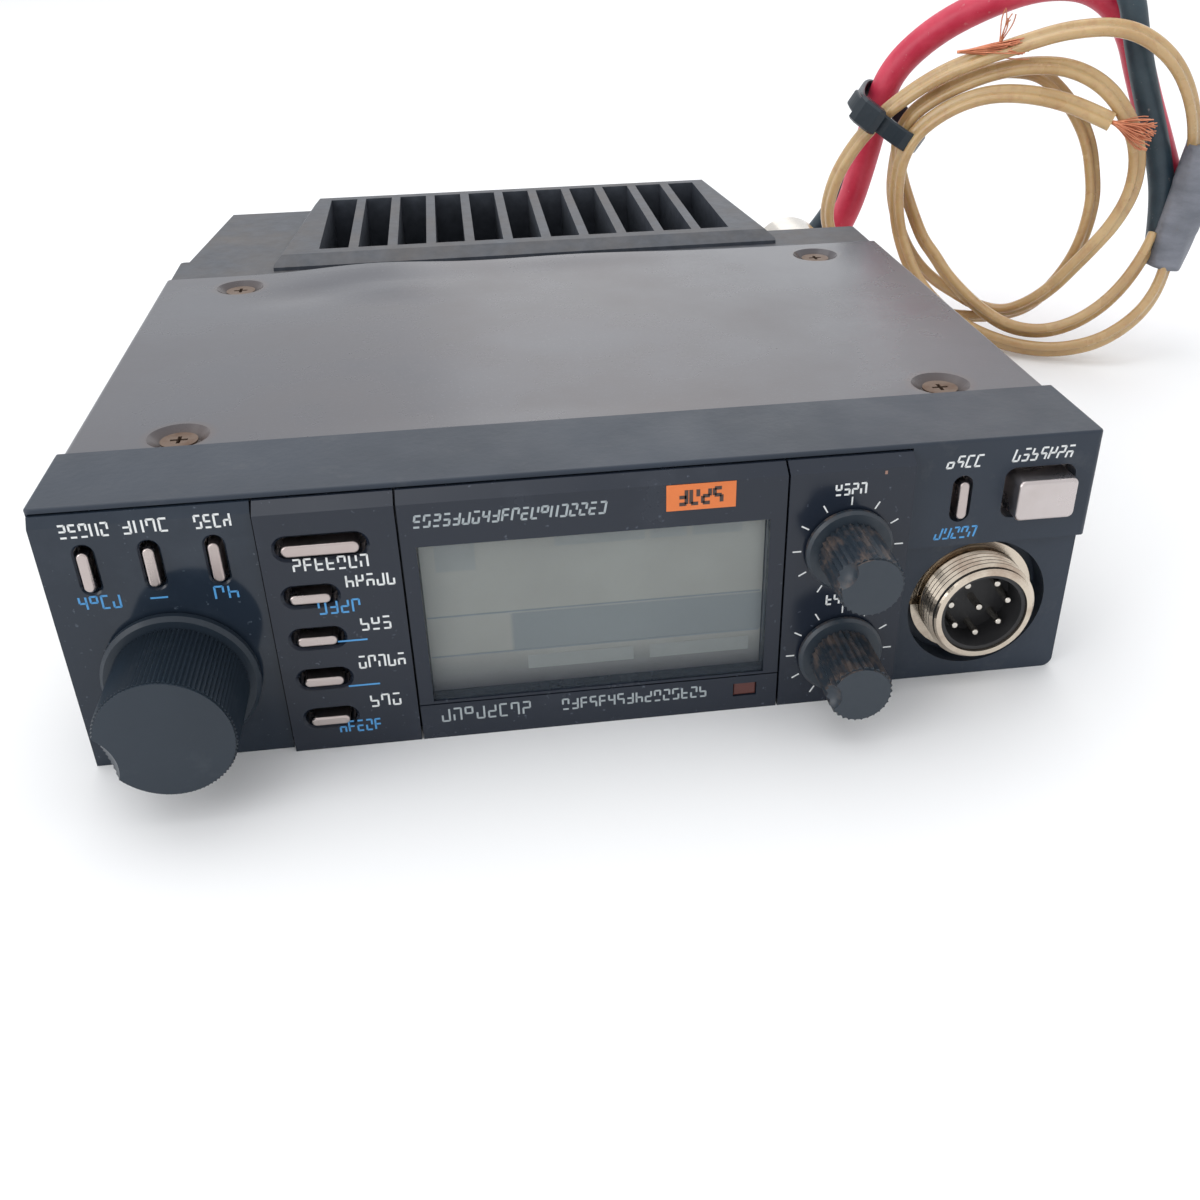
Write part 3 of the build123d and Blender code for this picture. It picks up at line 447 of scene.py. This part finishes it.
black_points = [
    at(GLAND_X, 118.0, 6.6),
    at(GLAND_X, 130.0, 6.6),
    by_coil(-77.8, -23.3, 3.9),
    by_coil(-83.8, -11.5, 3.4),
    by_coil(-85.8, 1.5, 3.2),
    by_coil(-83.0, 13.5, 6.0),
    by_coil(-76.0, 19.5, 15.0),
    by_coil(-68.5, 18.8, 26.0),
    by_coil(-63.5, 17.7, 38.5),
    by_coil(-59.8, 17.5, 51.0),
    by_coil(-56.5, 17.2, 60.5),
    by_coil(-47.3, 16.8, 69.2),
    by_coil(-38.0, 16.6, 75.0),
    by_coil(-30.5, 16.2, 81.2),
    by_coil(-18.5, 13.5, 87.6),
    by_coil(-6.0, 9.9, 80.4),
    by_coil(-2.2, 9.2, 67.5),
    by_coil(2.2, 9.0, 56.0),
    by_coil(6.6, 9.0, 45.0),
    by_coil(9.6, 8.4, 34.8),
    by_coil(10.2, 7.9, 26.0),
]
red_lead = spline("red_lead", red_points, 3.4 * MM, red_sleeve)
black_lead = spline("black_lead", black_points, 2.9 * MM, black_sleeve)


def tinted_twin():
    """Clear yellowed vinyl over stranded copper: warm, with the strands faintly showing."""
    r = Recipe("tinted_twin")
    strands = r.noise(420.0, 5.0, 0.6)
    cloud = r.noise(60.0, 5.0)
    tone = r.mix(r.ramp(cloud, 0.3, 0.7), (0.40, 0.25, 0.105), (0.56, 0.40, 0.20))
    tone = r.mix(r.ramp(strands, 0.52, 0.70, 0.0, 0.45), tone, (0.36, 0.19, 0.09))
    r.set(Base_Color=tone, Roughness=r.ramp(cloud, 0.3, 0.7, 0.22, 0.34), IOR=1.5)
    r.set(Subsurface_Weight=0.35, Subsurface_Radius=(0.004, 0.002, 0.001), Subsurface_Scale=0.6)
    r.set(Coat_Weight=0.4, Coat_Roughness=0.12)
    return r.material


def twin_profile():
    """Cross-section of the twin wire: two round conductors side by side, joined by a thin web."""
    conductor, web, edge = 1.1, 0.62, 0.05  # radius of each, half the web's thickness, least half thickness
    count = 32
    rim = []
    for step in range(count):
        angle = 2 * pi * step / count
        across = cos(angle) * 2 * conductor
        bulge = max(0.0, conductor**2 - (abs(across) - conductor) ** 2) ** 0.5
        half = max(bulge, edge if abs(across) > conductor else web)
        rim.append(((half if sin(angle) > 0 else -half) * MM, across * MM))
    data = bpy.data.curves.new("twin_profile", "CURVE")
    data.dimensions = "2D"
    line = data.splines.new("POLY")
    line.points.add(count - 1)
    for knot, point in zip(line.points, rim):
        knot.co = (*point, 0, 1)
    line.use_cyclic_u = True
    return bpy.data.objects.new("twin_profile", data)


# The coil seen from the front: each stop is (direction in degrees, distance from its middle, how far behind
# its plane). It leaves the tape downwards, goes round almost four times clockwise, and ends bare inside the
# opening.
COIL_MIDDLE = (-27.0, 34.0)
stops = [
    (-16, 36.5, 3), (-28, 35.8, -2), (-52, 33.7, -7), (-65, 31.1, -8), (-79, 27.5, -7), (-96, 22.5, -4),
    (-129, 18.5, -1), (-170, 19.5, 1), (-195, 24, 0), (-212, 29.2, -1.6),
    (-227, 28.2, -1.6), (-251, 28.1, -1.2), (-272, 29.7, -1), (-290, 32.4, -1), (-311, 33.5, -1),
    (-341, 31.8, -1), (-357, 29, -1), (-375, 25.1, -1), (-398, 23.6, -1), (-430, 26.1, -1), (-442, 27, 0),
    (-464, 24, 1),
    (-490, 24, 2.5), (-520, 24, 3), (-555, 26, 3), (-572, 28, 2.6),
    (-598, 28.5, 4), (-643, 28.5, 4), (-658, 25.7, 4), (-678, 23.2, 4), (-701, 21.4, 4), (-728, 21.4, 4),
    (-752, 22.7, 4), (-773, 25.3, 4), (-789, 28, 3), (-815, 29, 2), (-840, 31, 0), (-865, 36, -2),
    (-891, 41, -3), (-905, 38.5, -3), (-918, 36, -3), (-930, 34, -3), (-953, 31.7, -3), (-984, 32.6, -3),
    (-1001, 37.2, -3), (-1015, 43.5, -2), (-1027, 46.4, 0), (-1040, 46.1, 3), (-1052, 44.6, 6),
    (-1062, 42.9, 8.5), (-1080, 41.5, 9.4), (-1093, 41.6, 7.5), (-1104, 44.2, 1), (-1121, 41.4, -8),
    (-1132, 38.6, -9.5),
    (-1145, 34.8, -10), (-1160, 31.2, -8), (-1190, 26, -7), (-1230, 22.5, -5), (-1260, 22.5, -4.6),
    (-1292, 25, -4.6), (-1318, 24.4, -4.2), (-1363, 24.9, -4), (-1383, 27, -4), (-1399, 29.9, -4),
]


def round_the_coil(angle):
    """Point of the wire's route at this direction."""
    for before, after in zip(stops, stops[1:]):
        if before[0] >= angle >= after[0]:
            share = (before[0] - angle) / (before[0] - after[0])
            out = before[1] + share * (after[1] - before[1])
            behind = before[2] + share * (after[2] - before[2])
            break
    a = radians(angle)
    return by_coil(COIL_MIDDLE[0] + out * cos(a), behind, COIL_MIDDLE[1] + out * sin(a))


steps = 96
coil_points = [by_coil(9.0, 5.6, 27.5)]  # inside the tape
for step in range(steps):
    share = step / (steps - 1)
    coil_points.append(round_the_coil(stops[0][0] + (stops[-1][0] - stops[0][0]) * share))
twin_coil = spline("twin_coil", coil_points, 0.0, tinted_twin())
twin_coil.data.bevel_mode = "OBJECT"
twin_coil.data.bevel_object = twin_profile()
twin_coil.data.twist_mode = "MINIMUM"


def new_mesh(name, vertices, faces, material, smooth=False):
    """Mesh object from points and faces."""
    data = bpy.data.meshes.new(name)
    data.from_pydata([tuple(v) for v in vertices], [], faces)
    data.materials.append(material)
    for polygon in data.polygons:
        polygon.use_smooth = smooth
    piece = bpy.data.objects.new(name, data)
    scene.collection.objects.link(piece)
    return piece


def copper():
    """Fine bare copper strands, oxidised in places."""
    r = Recipe("copper")
    cloud = r.noise(300.0, 6.0, 0.6)
    tone = r.mix(r.ramp(cloud, 0.35, 0.7), (0.78, 0.34, 0.20), (0.55, 0.20, 0.11))
    r.set(Base_Color=tone, Metallic=0.85, Roughness=r.ramp(cloud, 0.3, 0.7, 0.3, 0.5))
    r.set(Normal=r.bump(r.noise(1500.0, 3.0), 0.00002))
    return r.material


bare_copper = copper()


def tuft(name, start, end, spread, count, seed):
    """Bundle of fine copper strands, splayed and curled towards its end."""
    thin = 0.14 * MM
    chance = random.Random(seed)
    vertices, faces = [], []
    along = end - start
    side = along.cross(Vector((0.3, 0.2, 0.9))).normalized()
    over = along.cross(side).normalized()
    for _ in range(count):
        lean = (chance.uniform(-1, 1), chance.uniform(-1, 1))
        curl = (chance.uniform(-1, 1), chance.uniform(-1, 1))
        reach = chance.uniform(0.75, 1.1)
        for step in range(9):
            f = step / 8
            wide = spread * (0.10 + 0.9 * f**1.3)
            point = start + along * f * reach
            point = point + side * wide * (lean[0] + 0.7 * curl[0] * sin(3.2 * f))
            point = point + over * wide * (lean[1] + 0.7 * curl[1] * sin(2.6 * f))
            for quarter in range(4):
                a = pi / 2 * quarter
                vertices.append(point + (side * cos(a) + over * sin(a)) * thin)
            if step:
                n, m = len(vertices) - 8, len(vertices) - 4
                faces += [(n + k, n + (k + 1) % 4, m + (k + 1) % 4, m + k) for k in range(4)]
    return new_mesh(name, vertices, faces, bare_copper, True)


tip = round_the_coil(stops[-1][0])
onwards = by_coil(8.5, -1.0, -1.5) - by_coil(0, 0, 0)
end_tuft = tuft("end_tuft", tip, tip + onwards, 3.0 * MM, 60, 4)
top_tuft = tuft("top_tuft", by_coil(-39.5, -3.2, 66.6), by_coil(-25.5, -3.6, 68.0), 1.7 * MM, 60, 9)
whiskers = tuft("whiskers", by_coil(-30.5, -3.4, 68.5), by_coil(-29.0, -3.2, 75.0), 1.6 * MM, 7, 12)


def cloth_tape():
    """Grey cloth tape: fine weave, wrinkles with painted shade in their hollows, and soiled edges."""
    r = Recipe("cloth_tape")
    crease_and_shade = r.noise(90.0, 6.0, 0.6, (1, 1, 2.5))
    # Painted shade: the tape is darker in the hollows of its wrinkles and lighter on their crests, following
    # the bump's height.
    tone = r.mix(r.ramp(crease_and_shade, 0.35, 0.68), (0.12, 0.13, 0.155), (0.20, 0.21, 0.245))
    tone = r.mix(r.ramp(r.noise(200.0, 7.0, 0.7), 0.6, 0.8, 0.0, 0.5), tone, (0.16, 0.13, 0.11))
    weave = r.bump(r.noise(1600.0, 2.0, 0.5, (1, 1, 0.5)), 0.00004)
    r.set(Base_Color=tone, Roughness=r.ramp(crease_and_shade, 0.3, 0.7, 0.42, 0.62))
    r.set(Normal=r.bump(crease_and_shade, 0.0008, weave))
    return r.material


def wrapped_tape():
    """Tape wrapped round the leads in three overlapping turns, a little slack and uneven."""
    low, high = (11.9, 20.8), (16.8, 47.3)  # ends of its axis: across the coil's plane, up
    half_width, half_depth, middle_depth, laps = 5.1, 7.5, 9.4, 3
    rings, around = 27, 48
    vertices, faces = [], []
    for ring in range(rings):
        f = ring / (rings - 1)
        across, up = low[0] + f * (high[0] - low[0]), low[1] + f * (high[1] - low[1])
        lap = 0.14 * ((f * laps) % 1.0)
        for k in range(around):
            a = 2 * pi * k / around
            slack = 0.93 + 0.03 * sin(3 * a + 5 * f) + 0.02 * sin(7 * a + 11 * f)
            wide = half_width * slack * (abs(cos(a)) ** 0.7) * (1 if cos(a) > 0 else -1) - lap * cos(a)
            deep = half_depth * slack * (abs(sin(a)) ** 0.7) * (1 if sin(a) > 0 else -1)
            vertices.append(by_coil(across + wide * 0.98, middle_depth + deep, up - wide * 0.18))
    for ring in range(rings - 1):
        n = ring * around
        m = n + around
        faces += [(n + k, n + (k + 1) % around, m + (k + 1) % around, m + k) for k in range(around)]
    faces.append(tuple(range(around - 1, -1, -1)))
    faces.append(tuple((rings - 1) * around + k for k in range(around)))
    return new_mesh("tape_wrap", vertices, faces, cloth_tape(), True)


tape = wrapped_tape()
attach(tape, "case")
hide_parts("joint_tape")

# Cable tie: a strap tight round the turns of wire and the red lead, with its head in front and a cut tail.
TIE_DIRECTION = radians(148)  # from the coil's middle


def by_tie(out, behind, along):
    """Point this far from the coil's middle in the tie's direction, behind its plane, and along the wires."""
    out_across, out_up = cos(TIE_DIRECTION), sin(TIE_DIRECTION)
    across = COIL_MIDDLE[0] + out * out_across + along * out_up
    return by_coil(across, behind, COIL_MIDDLE[1] + out * out_up - along * out_across)


def strap_path(count):
    """Rounded loop round the wires in front and the red lead behind them."""
    corners = [(23.0, -6.6), (38.4, -6.2), (41.2, 0.0), (42.4, 13.9), (33.0, 14.3), (22.6, 3.4)]
    path = []
    for index, corner in enumerate(corners):
        before, after = corners[index - 1], corners[(index + 1) % len(corners)]
        start = [(c + b) / 2 for c, b in zip(corner, before)]
        end = [(c + a) / 2 for c, a in zip(corner, after)]
        for step in range(count):
            f = step / count
            near, top, far = (1 - f) ** 2, 2 * f * (1 - f), f * f
            path.append([near * s + top * c + far * e for s, c, e in zip(start, corner, end)])
    return path


# The ribbon's cross-section: (across its thickness, across its width), as parts of half of each.
RIBBON_EDGE = ((1, 0.82), (1, -0.82), (0.5, -1), (-0.5, -1), (-1, -0.82), (-1, 0.82), (-0.5, 1), (0.5, 1))


def ribbon(name, loop, thick, width, material, closed=True):
    """Flat strap along a path of (out, behind) points."""
    vertices, faces = [], []
    size = len(loop)
    for index, (out, behind) in enumerate(loop):
        ahead, back = loop[(index + 1) % size], loop[index - 1]
        if not closed:
            ahead, back = loop[min(index + 1, size - 1)], loop[max(index - 1, 0)]
        run = (ahead[0] - back[0], ahead[1] - back[1])
        length = hypot(*run)
        thick_out, thick_behind = run[1] / length * thick / 2, -run[0] / length * thick / 2
        for side, edge in RIBBON_EDGE:
            vertices.append(by_tie(out + thick_out * side, behind + thick_behind * side, edge * width / 2))
    for index in range(size if closed else size - 1):
        n, m = index * 8, (index + 1) % size * 8
        faces += [(n + k, n + (k + 1) % 8, m + (k + 1) % 8, m + k) for k in range(8)]
    if not closed:
        faces += [tuple(range(7, -1, -1)), tuple((size - 1) * 8 + k for k in range(8))]
    return new_mesh(name, vertices, faces, material)


tail_path = [(37.6 + 0.5 * k, -6.4 + 0.06 * k * k) for k in range(9)]
head_path = [(33.4, -7.0), (34.0, -7.5), (37.6, -7.3), (38.6, -6.6)]
tie = ribbon("tie_strap", strap_path(6), 1.1, 4.4, nylon)
tie_tail = ribbon("tie_tail", tail_path, 1.0, 3.8, nylon, False)
tie_head = ribbon("tie_head", head_path, 3.2, 6.0, nylon, False)
for piece in (tie, tie_tail, tie_head):
    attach(piece, "case")
    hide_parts("cable_tie")

for lead, node, slot_name in (
    (red_lead, "supply_lead_red", "red_sleeve"),
    (black_lead, "supply_lead_black", "black_sleeve"),
):
    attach(lead, "case")
    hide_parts(node)
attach(twin_coil, "case")
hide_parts("wire_coil")
for piece in (end_tuft, top_tuft, whiskers):
    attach(piece, "case")


# ---------------------------------------------------------------- bent top cover
def swell(value, centre, reach):
    """Smooth hump: 1 at its centre, fading out over its reach."""
    return exp(-(((value - centre) / reach) ** 2))


def bent(x, depth):
    """How far the cover stands proud of true, in millimetres: lifted edges, dents, true at its screws."""
    lift = 1.1 * swell(x, -30, 15) * swell(depth, 97, 9) + 0.7 * swell(x, 8, 20) * swell(depth, 97, 6)
    lift += 0.5 * swell(x, -4, 26) * swell(depth, 14.5, 5) - 0.55 * swell(x, -44, 8) * swell(depth, 84, 5)
    lift += 0.45 * swell(x, -24, 10) * swell(depth, 83, 4) + 0.3 * swell(x, 20, 30) * swell(depth, 60, 20)
    for screw_depth in COVER_SCREW_DEPTHS:
        for screw_x in (-COVER_SCREW_X, COVER_SCREW_X):
            lift *= 1 - swell(hypot(x - screw_x, depth - screw_depth), 0, 9)
    return lift


FOLD, FOLD_HEIGHT = 35.5, 1.5  # the bend starts here up the cover's sides, and is full this much higher
sheet = bpy.data.meshes.new("bent_cover")
work = bmesh.new()
work.from_mesh(nodes["top_cover"].data)
work.transform(nodes["top_cover"].matrix_world)
cuts = [(at(x, 0, 0), (1, 0, 0)) for x in range(-68, 69, 3)]
cuts += [(at(0, depth, 0), (0, 1, 0)) for depth in range(18, 95, 3)]
for spot, normal in cuts:
    everything = work.verts[:] + work.edges[:] + work.faces[:]
    bmesh.ops.bisect_plane(work, geom=everything, dist=1e-6, plane_co=spot, plane_no=normal)
for vertex in work.verts:
    x, depth, z = vertex.co.x / MM, (vertex.co.y - LIP) / MM, vertex.co.z / MM
    vertex.co.z += bent(x, depth) * min(1.0, max(0.0, (z - FOLD) / FOLD_HEIGHT)) * MM
work.to_mesh(sheet)
work.free()
sheet.materials.clear()
sheet.materials.append(top_paint)
for polygon in sheet.polygons:
    polygon.use_smooth = True
    polygon.material_index = 0
sheet.set_sharp_from_angle(angle=radians(28))
cover = bpy.data.objects.new("bent_cover", sheet)
scene.collection.objects.link(cover)
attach(cover, "case")
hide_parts("top_cover")

# ---------------------------------------------------------------- microphone socket's threaded shell
SOCKET = (55.95, 12.36)  # its axis: across, up


def lathe(name, profile, centre, material):
    """Solid of revolution about an axis along Y, from a closed (depth, radius) outline."""
    around = 72
    vertices, faces = [], []
    size = len(profile)
    for step in range(around):
        a = 2 * pi * step / around
        for depth, radius in profile:
            vertices.append(at(centre[0] + radius * cos(a), depth, centre[1] + radius * sin(a)))
    for step in range(around):
        n, m = step * size, (step + 1) % around * size
        faces += [(n + k, m + k, m + (k + 1) % size, n + (k + 1) % size) for k in range(size)]
    return new_mesh(name, vertices, faces, material)


CREST, ROOT, PITCH, THREADS = 7.84, 7.42, 0.9, 5
outline = [(-1.9, 6.35), (-1.9, 7.1), (-1.65, 7.35), (-1.3, 7.4)]  # rounded mouth
for thread in range(THREADS):
    start = -1.2 + PITCH * thread
    outline += [(start, ROOT), (start + 0.35, CREST), (start + 0.5, CREST), (start + 0.85, ROOT)]
outline += [(3.3, 7.15), (7.1, 7.15)]  # neck
outline += [(7.1, 8.4), (8.6, 8.4), (8.6, 7.4), (14.5, 7.4), (14.5, 5.2), (12.5, 5.2), (12.5, 6.35)]
shell = lathe("socket_thread", outline, SOCKET, worn_plating)
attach(shell, "case")
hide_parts("socket_shell")


# ---------------------------------------------------------------- printed marks
def paint(name, colour):
    """Screen-printed ink with slight wear."""
    r = Recipe(name)
    worn = r.noise(500.0, 6.0, 0.7)
    r.set(Base_Color=r.mix(r.ramp(worn, 0.62, 0.80, 0.0, 0.6), colour, tuple(v * 0.45 for v in colour)))
    r.set(Roughness=0.5, Normal=r.bump(worn, 0.00001))
    return r.material


white_ink = paint("white_ink", (0.72, 0.74, 0.74))
blue_ink = paint("blue_ink", (0.07, 0.30, 0.62))
grey_ink = paint("grey_ink", (0.34, 0.38, 0.40))


class Marks:
    """Flat printed strokes on one face, gathered in one piece."""

    def __init__(self, name, face):
        self.name, self.front, self.back = name, face - 0.03, face + 0.02  # proud of the face, sunk in it
        self.vertices, self.faces = [], []

    def stroke(self, first, last, width):
        """Straight stroke between two (X, Z) points."""
        run = (last[0] - first[0], last[1] - first[1])
        length = hypot(*run)
        nx, nz = -run[1] / length * width / 2, run[0] / length * width / 2
        n = len(self.vertices)
        for depth in (self.front, self.back):
            for x, z in (first, last):
                self.vertices.append(at(x + nx, depth, z + nz))
                self.vertices.append(at(x - nx, depth, z - nz))
        self.faces += [(n, n + 1, n + 3, n + 2), (n + 4, n + 6, n + 7, n + 5)]
        self.faces += [(n, n + 2, n + 6, n + 4), (n + 1, n + 5, n + 7, n + 3)]
        self.faces += [(n, n + 4, n + 5, n + 1), (n + 2, n + 3, n + 7, n + 6)]

    def legend(self, x_from, x_to, z_from, z_to, seed, slant=0.0, width=0.26):
        """Row of made-up characters where a printed word is: each has 4 of the 7 strokes of a grid."""
        chance = random.Random(seed)
        tall = z_to - z_from
        pitch, filled = 0.78, 0.60  # from character to character, by their height, and the share drawn on
        count = max(1, round((x_to - x_from) / (pitch * tall)))
        step = (x_to - x_from) / count
        grid = [(0, 0), (1, 0), (0, 0.5), (1, 0.5), (0, 1), (1, 1)]
        pairs = [(0, 2), (2, 4), (1, 3), (3, 5), (0, 1), (2, 3), (4, 5)]
        for index in range(count):
            left = x_from + index * step
            for first, last in chance.sample(pairs, 4):
                ends = []
                for gx, gz in (grid[first], grid[last]):
                    ends.append((left + gx * step * filled + slant * gz * tall, z_from + gz * tall))
                self.stroke(*ends, width)

    def done(self, material, body="case"):
        """Make the piece."""
        piece = new_mesh(self.name, self.vertices, self.faces, material)
        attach(piece, body)


ink = Marks("left_legends", -1.2)
for number, span in enumerate([(-65.9, -59.6), (-58.3, -52.4), (-49.6, -44.9)]):
    ink.legend(*span, 35.4, 37.1, 11 + number)
ink.done(white_ink)
ink = Marks("left_legends_blue", -1.2)
ink.legend(-65.8, -60.3, 25.0, 26.8, 21)
ink.stroke((-57.1, 25.9), (-54.9, 25.9), 0.24)
ink.legend(-49.0, -45.5, 25.0, 26.8, 22)
ink.done(blue_ink)

ink = Marks("key_legends", -2.2)
for number, span in enumerate([
    (-38.5, -28.6, 28.6, 30.3), (-32.2, -25.6, 25.7, 27.4), (-31.1, -26.8, 19.0, 20.8),
    (-32.1, -25.6, 13.0, 14.8), (-31.3, -26.8, 6.5, 8.3),
]):
    ink.legend(*span, 31 + number)
ink.done(white_ink)
ink = Marks("key_legends_blue", -2.2)
ink.legend(-36.2, -30.4, 22.0, 23.8, 41)
ink.legend(-36.0, -30.0, 2.6, 4.3, 42)
ink.stroke((-34.5, 17.5), (-30.6, 17.5), 0.24)
ink.stroke((-34.0, 10.2), (-29.8, 10.2), 0.24)
ink.done(blue_ink)

ink = Marks("display_legends", -2.2)
ink.legend(-22.9, 2.1, 33.6, 35.2, 51, 0.2, 0.28)
ink.legend(-21.9, -9.0, 2.8, 4.8, 52)
ink.legend(-5.0, 16.0, 2.9, 4.6, 53, 0.0, 0.26)
ink.done(grey_ink)

ink = Marks("knob_legends", -2.2)
ink.legend(32.4, 36.9, 33.5, 35.0, 61)
ink.legend(32.3, 36.7, 16.6, 18.1, 62)
for centre in ((34.7, 25.4), (34.7, 8.5)):
    for tick in range(11):
        angle = radians(240 - 30 * tick)
        first, last = [(centre[0] + out * cos(angle), centre[1] + out * sin(angle)) for out in (6.5, 7.7)]
        ink.stroke(first, last, 0.2)
ink.done(white_ink)

ink = Marks("paint_fleck", -2.2)
ink.stroke((38.85, 36.3), (39.2, 36.3), 0.5)
ink.done(paint("fleck_ink", (0.30, 0.17, 0.13)))

ink = Marks("right_legends", 0.0)
ink.legend(48.2, 53.4, 35.1, 36.7, 71, 0.25)
ink.legend(57.4, 66.1, 35.4, 37.1, 72, 0.25)
ink.done(white_ink)
ink = Marks("right_legend_blue", 0.0)
ink.legend(47.7, 53.8, 24.3, 25.9, 73, 0.25)
ink.done(blue_ink)

ink = Marks("label_print", -2.32)
ink.legend(11.4, 17.6, 34.0, 36.0, 81, 0.0, 0.5)
ink.done(paint("label_ink", (0.05, 0.03, 0.025)))


# ---------------------------------------------------------------- display marks
def ghost(name, colour):
    """Unlit display segment: barely darker than the glass."""
    r = Recipe(name)
    r.set(Base_Color=r.mix(r.noise(300.0), colour, tuple(v * 1.2 for v in colour)), Roughness=0.3)
    return r.material


segments = Marks("display_segments", 0.2)
segments.stroke((-22.6, 18.4), (23.4, 18.4), 0.22)
segments.stroke((-22.6, 12.0), (23.4, 12.0), 0.22)
segments.done(ghost("segment_line", (0.30, 0.31, 0.31)))
segments = Marks("display_digits", 0.2)
for left, right, low, high in (
    (-20.8, -15.5, 25.4, 30.3), (-4.9, 7.2, 28.0, 30.2), (8.0, 12.9, 28.0, 30.2),
    (13.7, 20.5, 28.0, 30.2), (-9.4, 5.5, 8.8, 11.0), (7.8, 22.0, 8.8, 11.0),
):
    segments.stroke((left, (low + high) / 2), (right, (low + high) / 2), high - low)
segments.done(ghost("segment_block", (0.44, 0.41, 0.36)))


# ---------------------------------------------------------------- ground and light
def ground():
    """Plain pale surface."""
    r = Recipe("ground")
    r.set(Base_Color=r.mix(r.noise(3.0), (0.86, 0.87, 0.88), (0.90, 0.90, 0.90)), Roughness=0.6)
    return r.material


floor = new_mesh("floor", [(-4, -3, 0), (4, -3, 0), (4, 6, 0), (-4, 6, 0)], [(0, 1, 2, 3)], ground())

world = bpy.data.worlds.new("studio")
world.use_nodes = True
sky = world.node_tree.nodes["Background"]
sky.inputs[0].default_value = (0.97, 0.98, 1.0, 1)
sky.inputs[1].default_value = 1.0
scene.world = world
scene.view_settings.view_transform = "Standard"


def softbox(name, position, size, power):
    """Rectangular light that faces the origin."""
    light = bpy.data.lights.new(name, "AREA")
    light.shape = "RECTANGLE"
    light.size, light.size_y = size
    light.energy = power
    lamp = bpy.data.objects.new(name, light)
    lamp.location = position
    lamp.rotation_euler = (-Vector(position)).to_track_quat("-Z", "Y").to_euler()
    scene.collection.objects.link(lamp)


softbox("top_light", (-0.15, 0.25, 0.9), (1.0, 0.8), 3)
softbox("left_light", (-0.9, -0.5, 0.5), (0.7, 0.7), 3.5)
softbox("back_light", (0.5, 1.1, 0.6), (1.2, 0.5), 1.2)
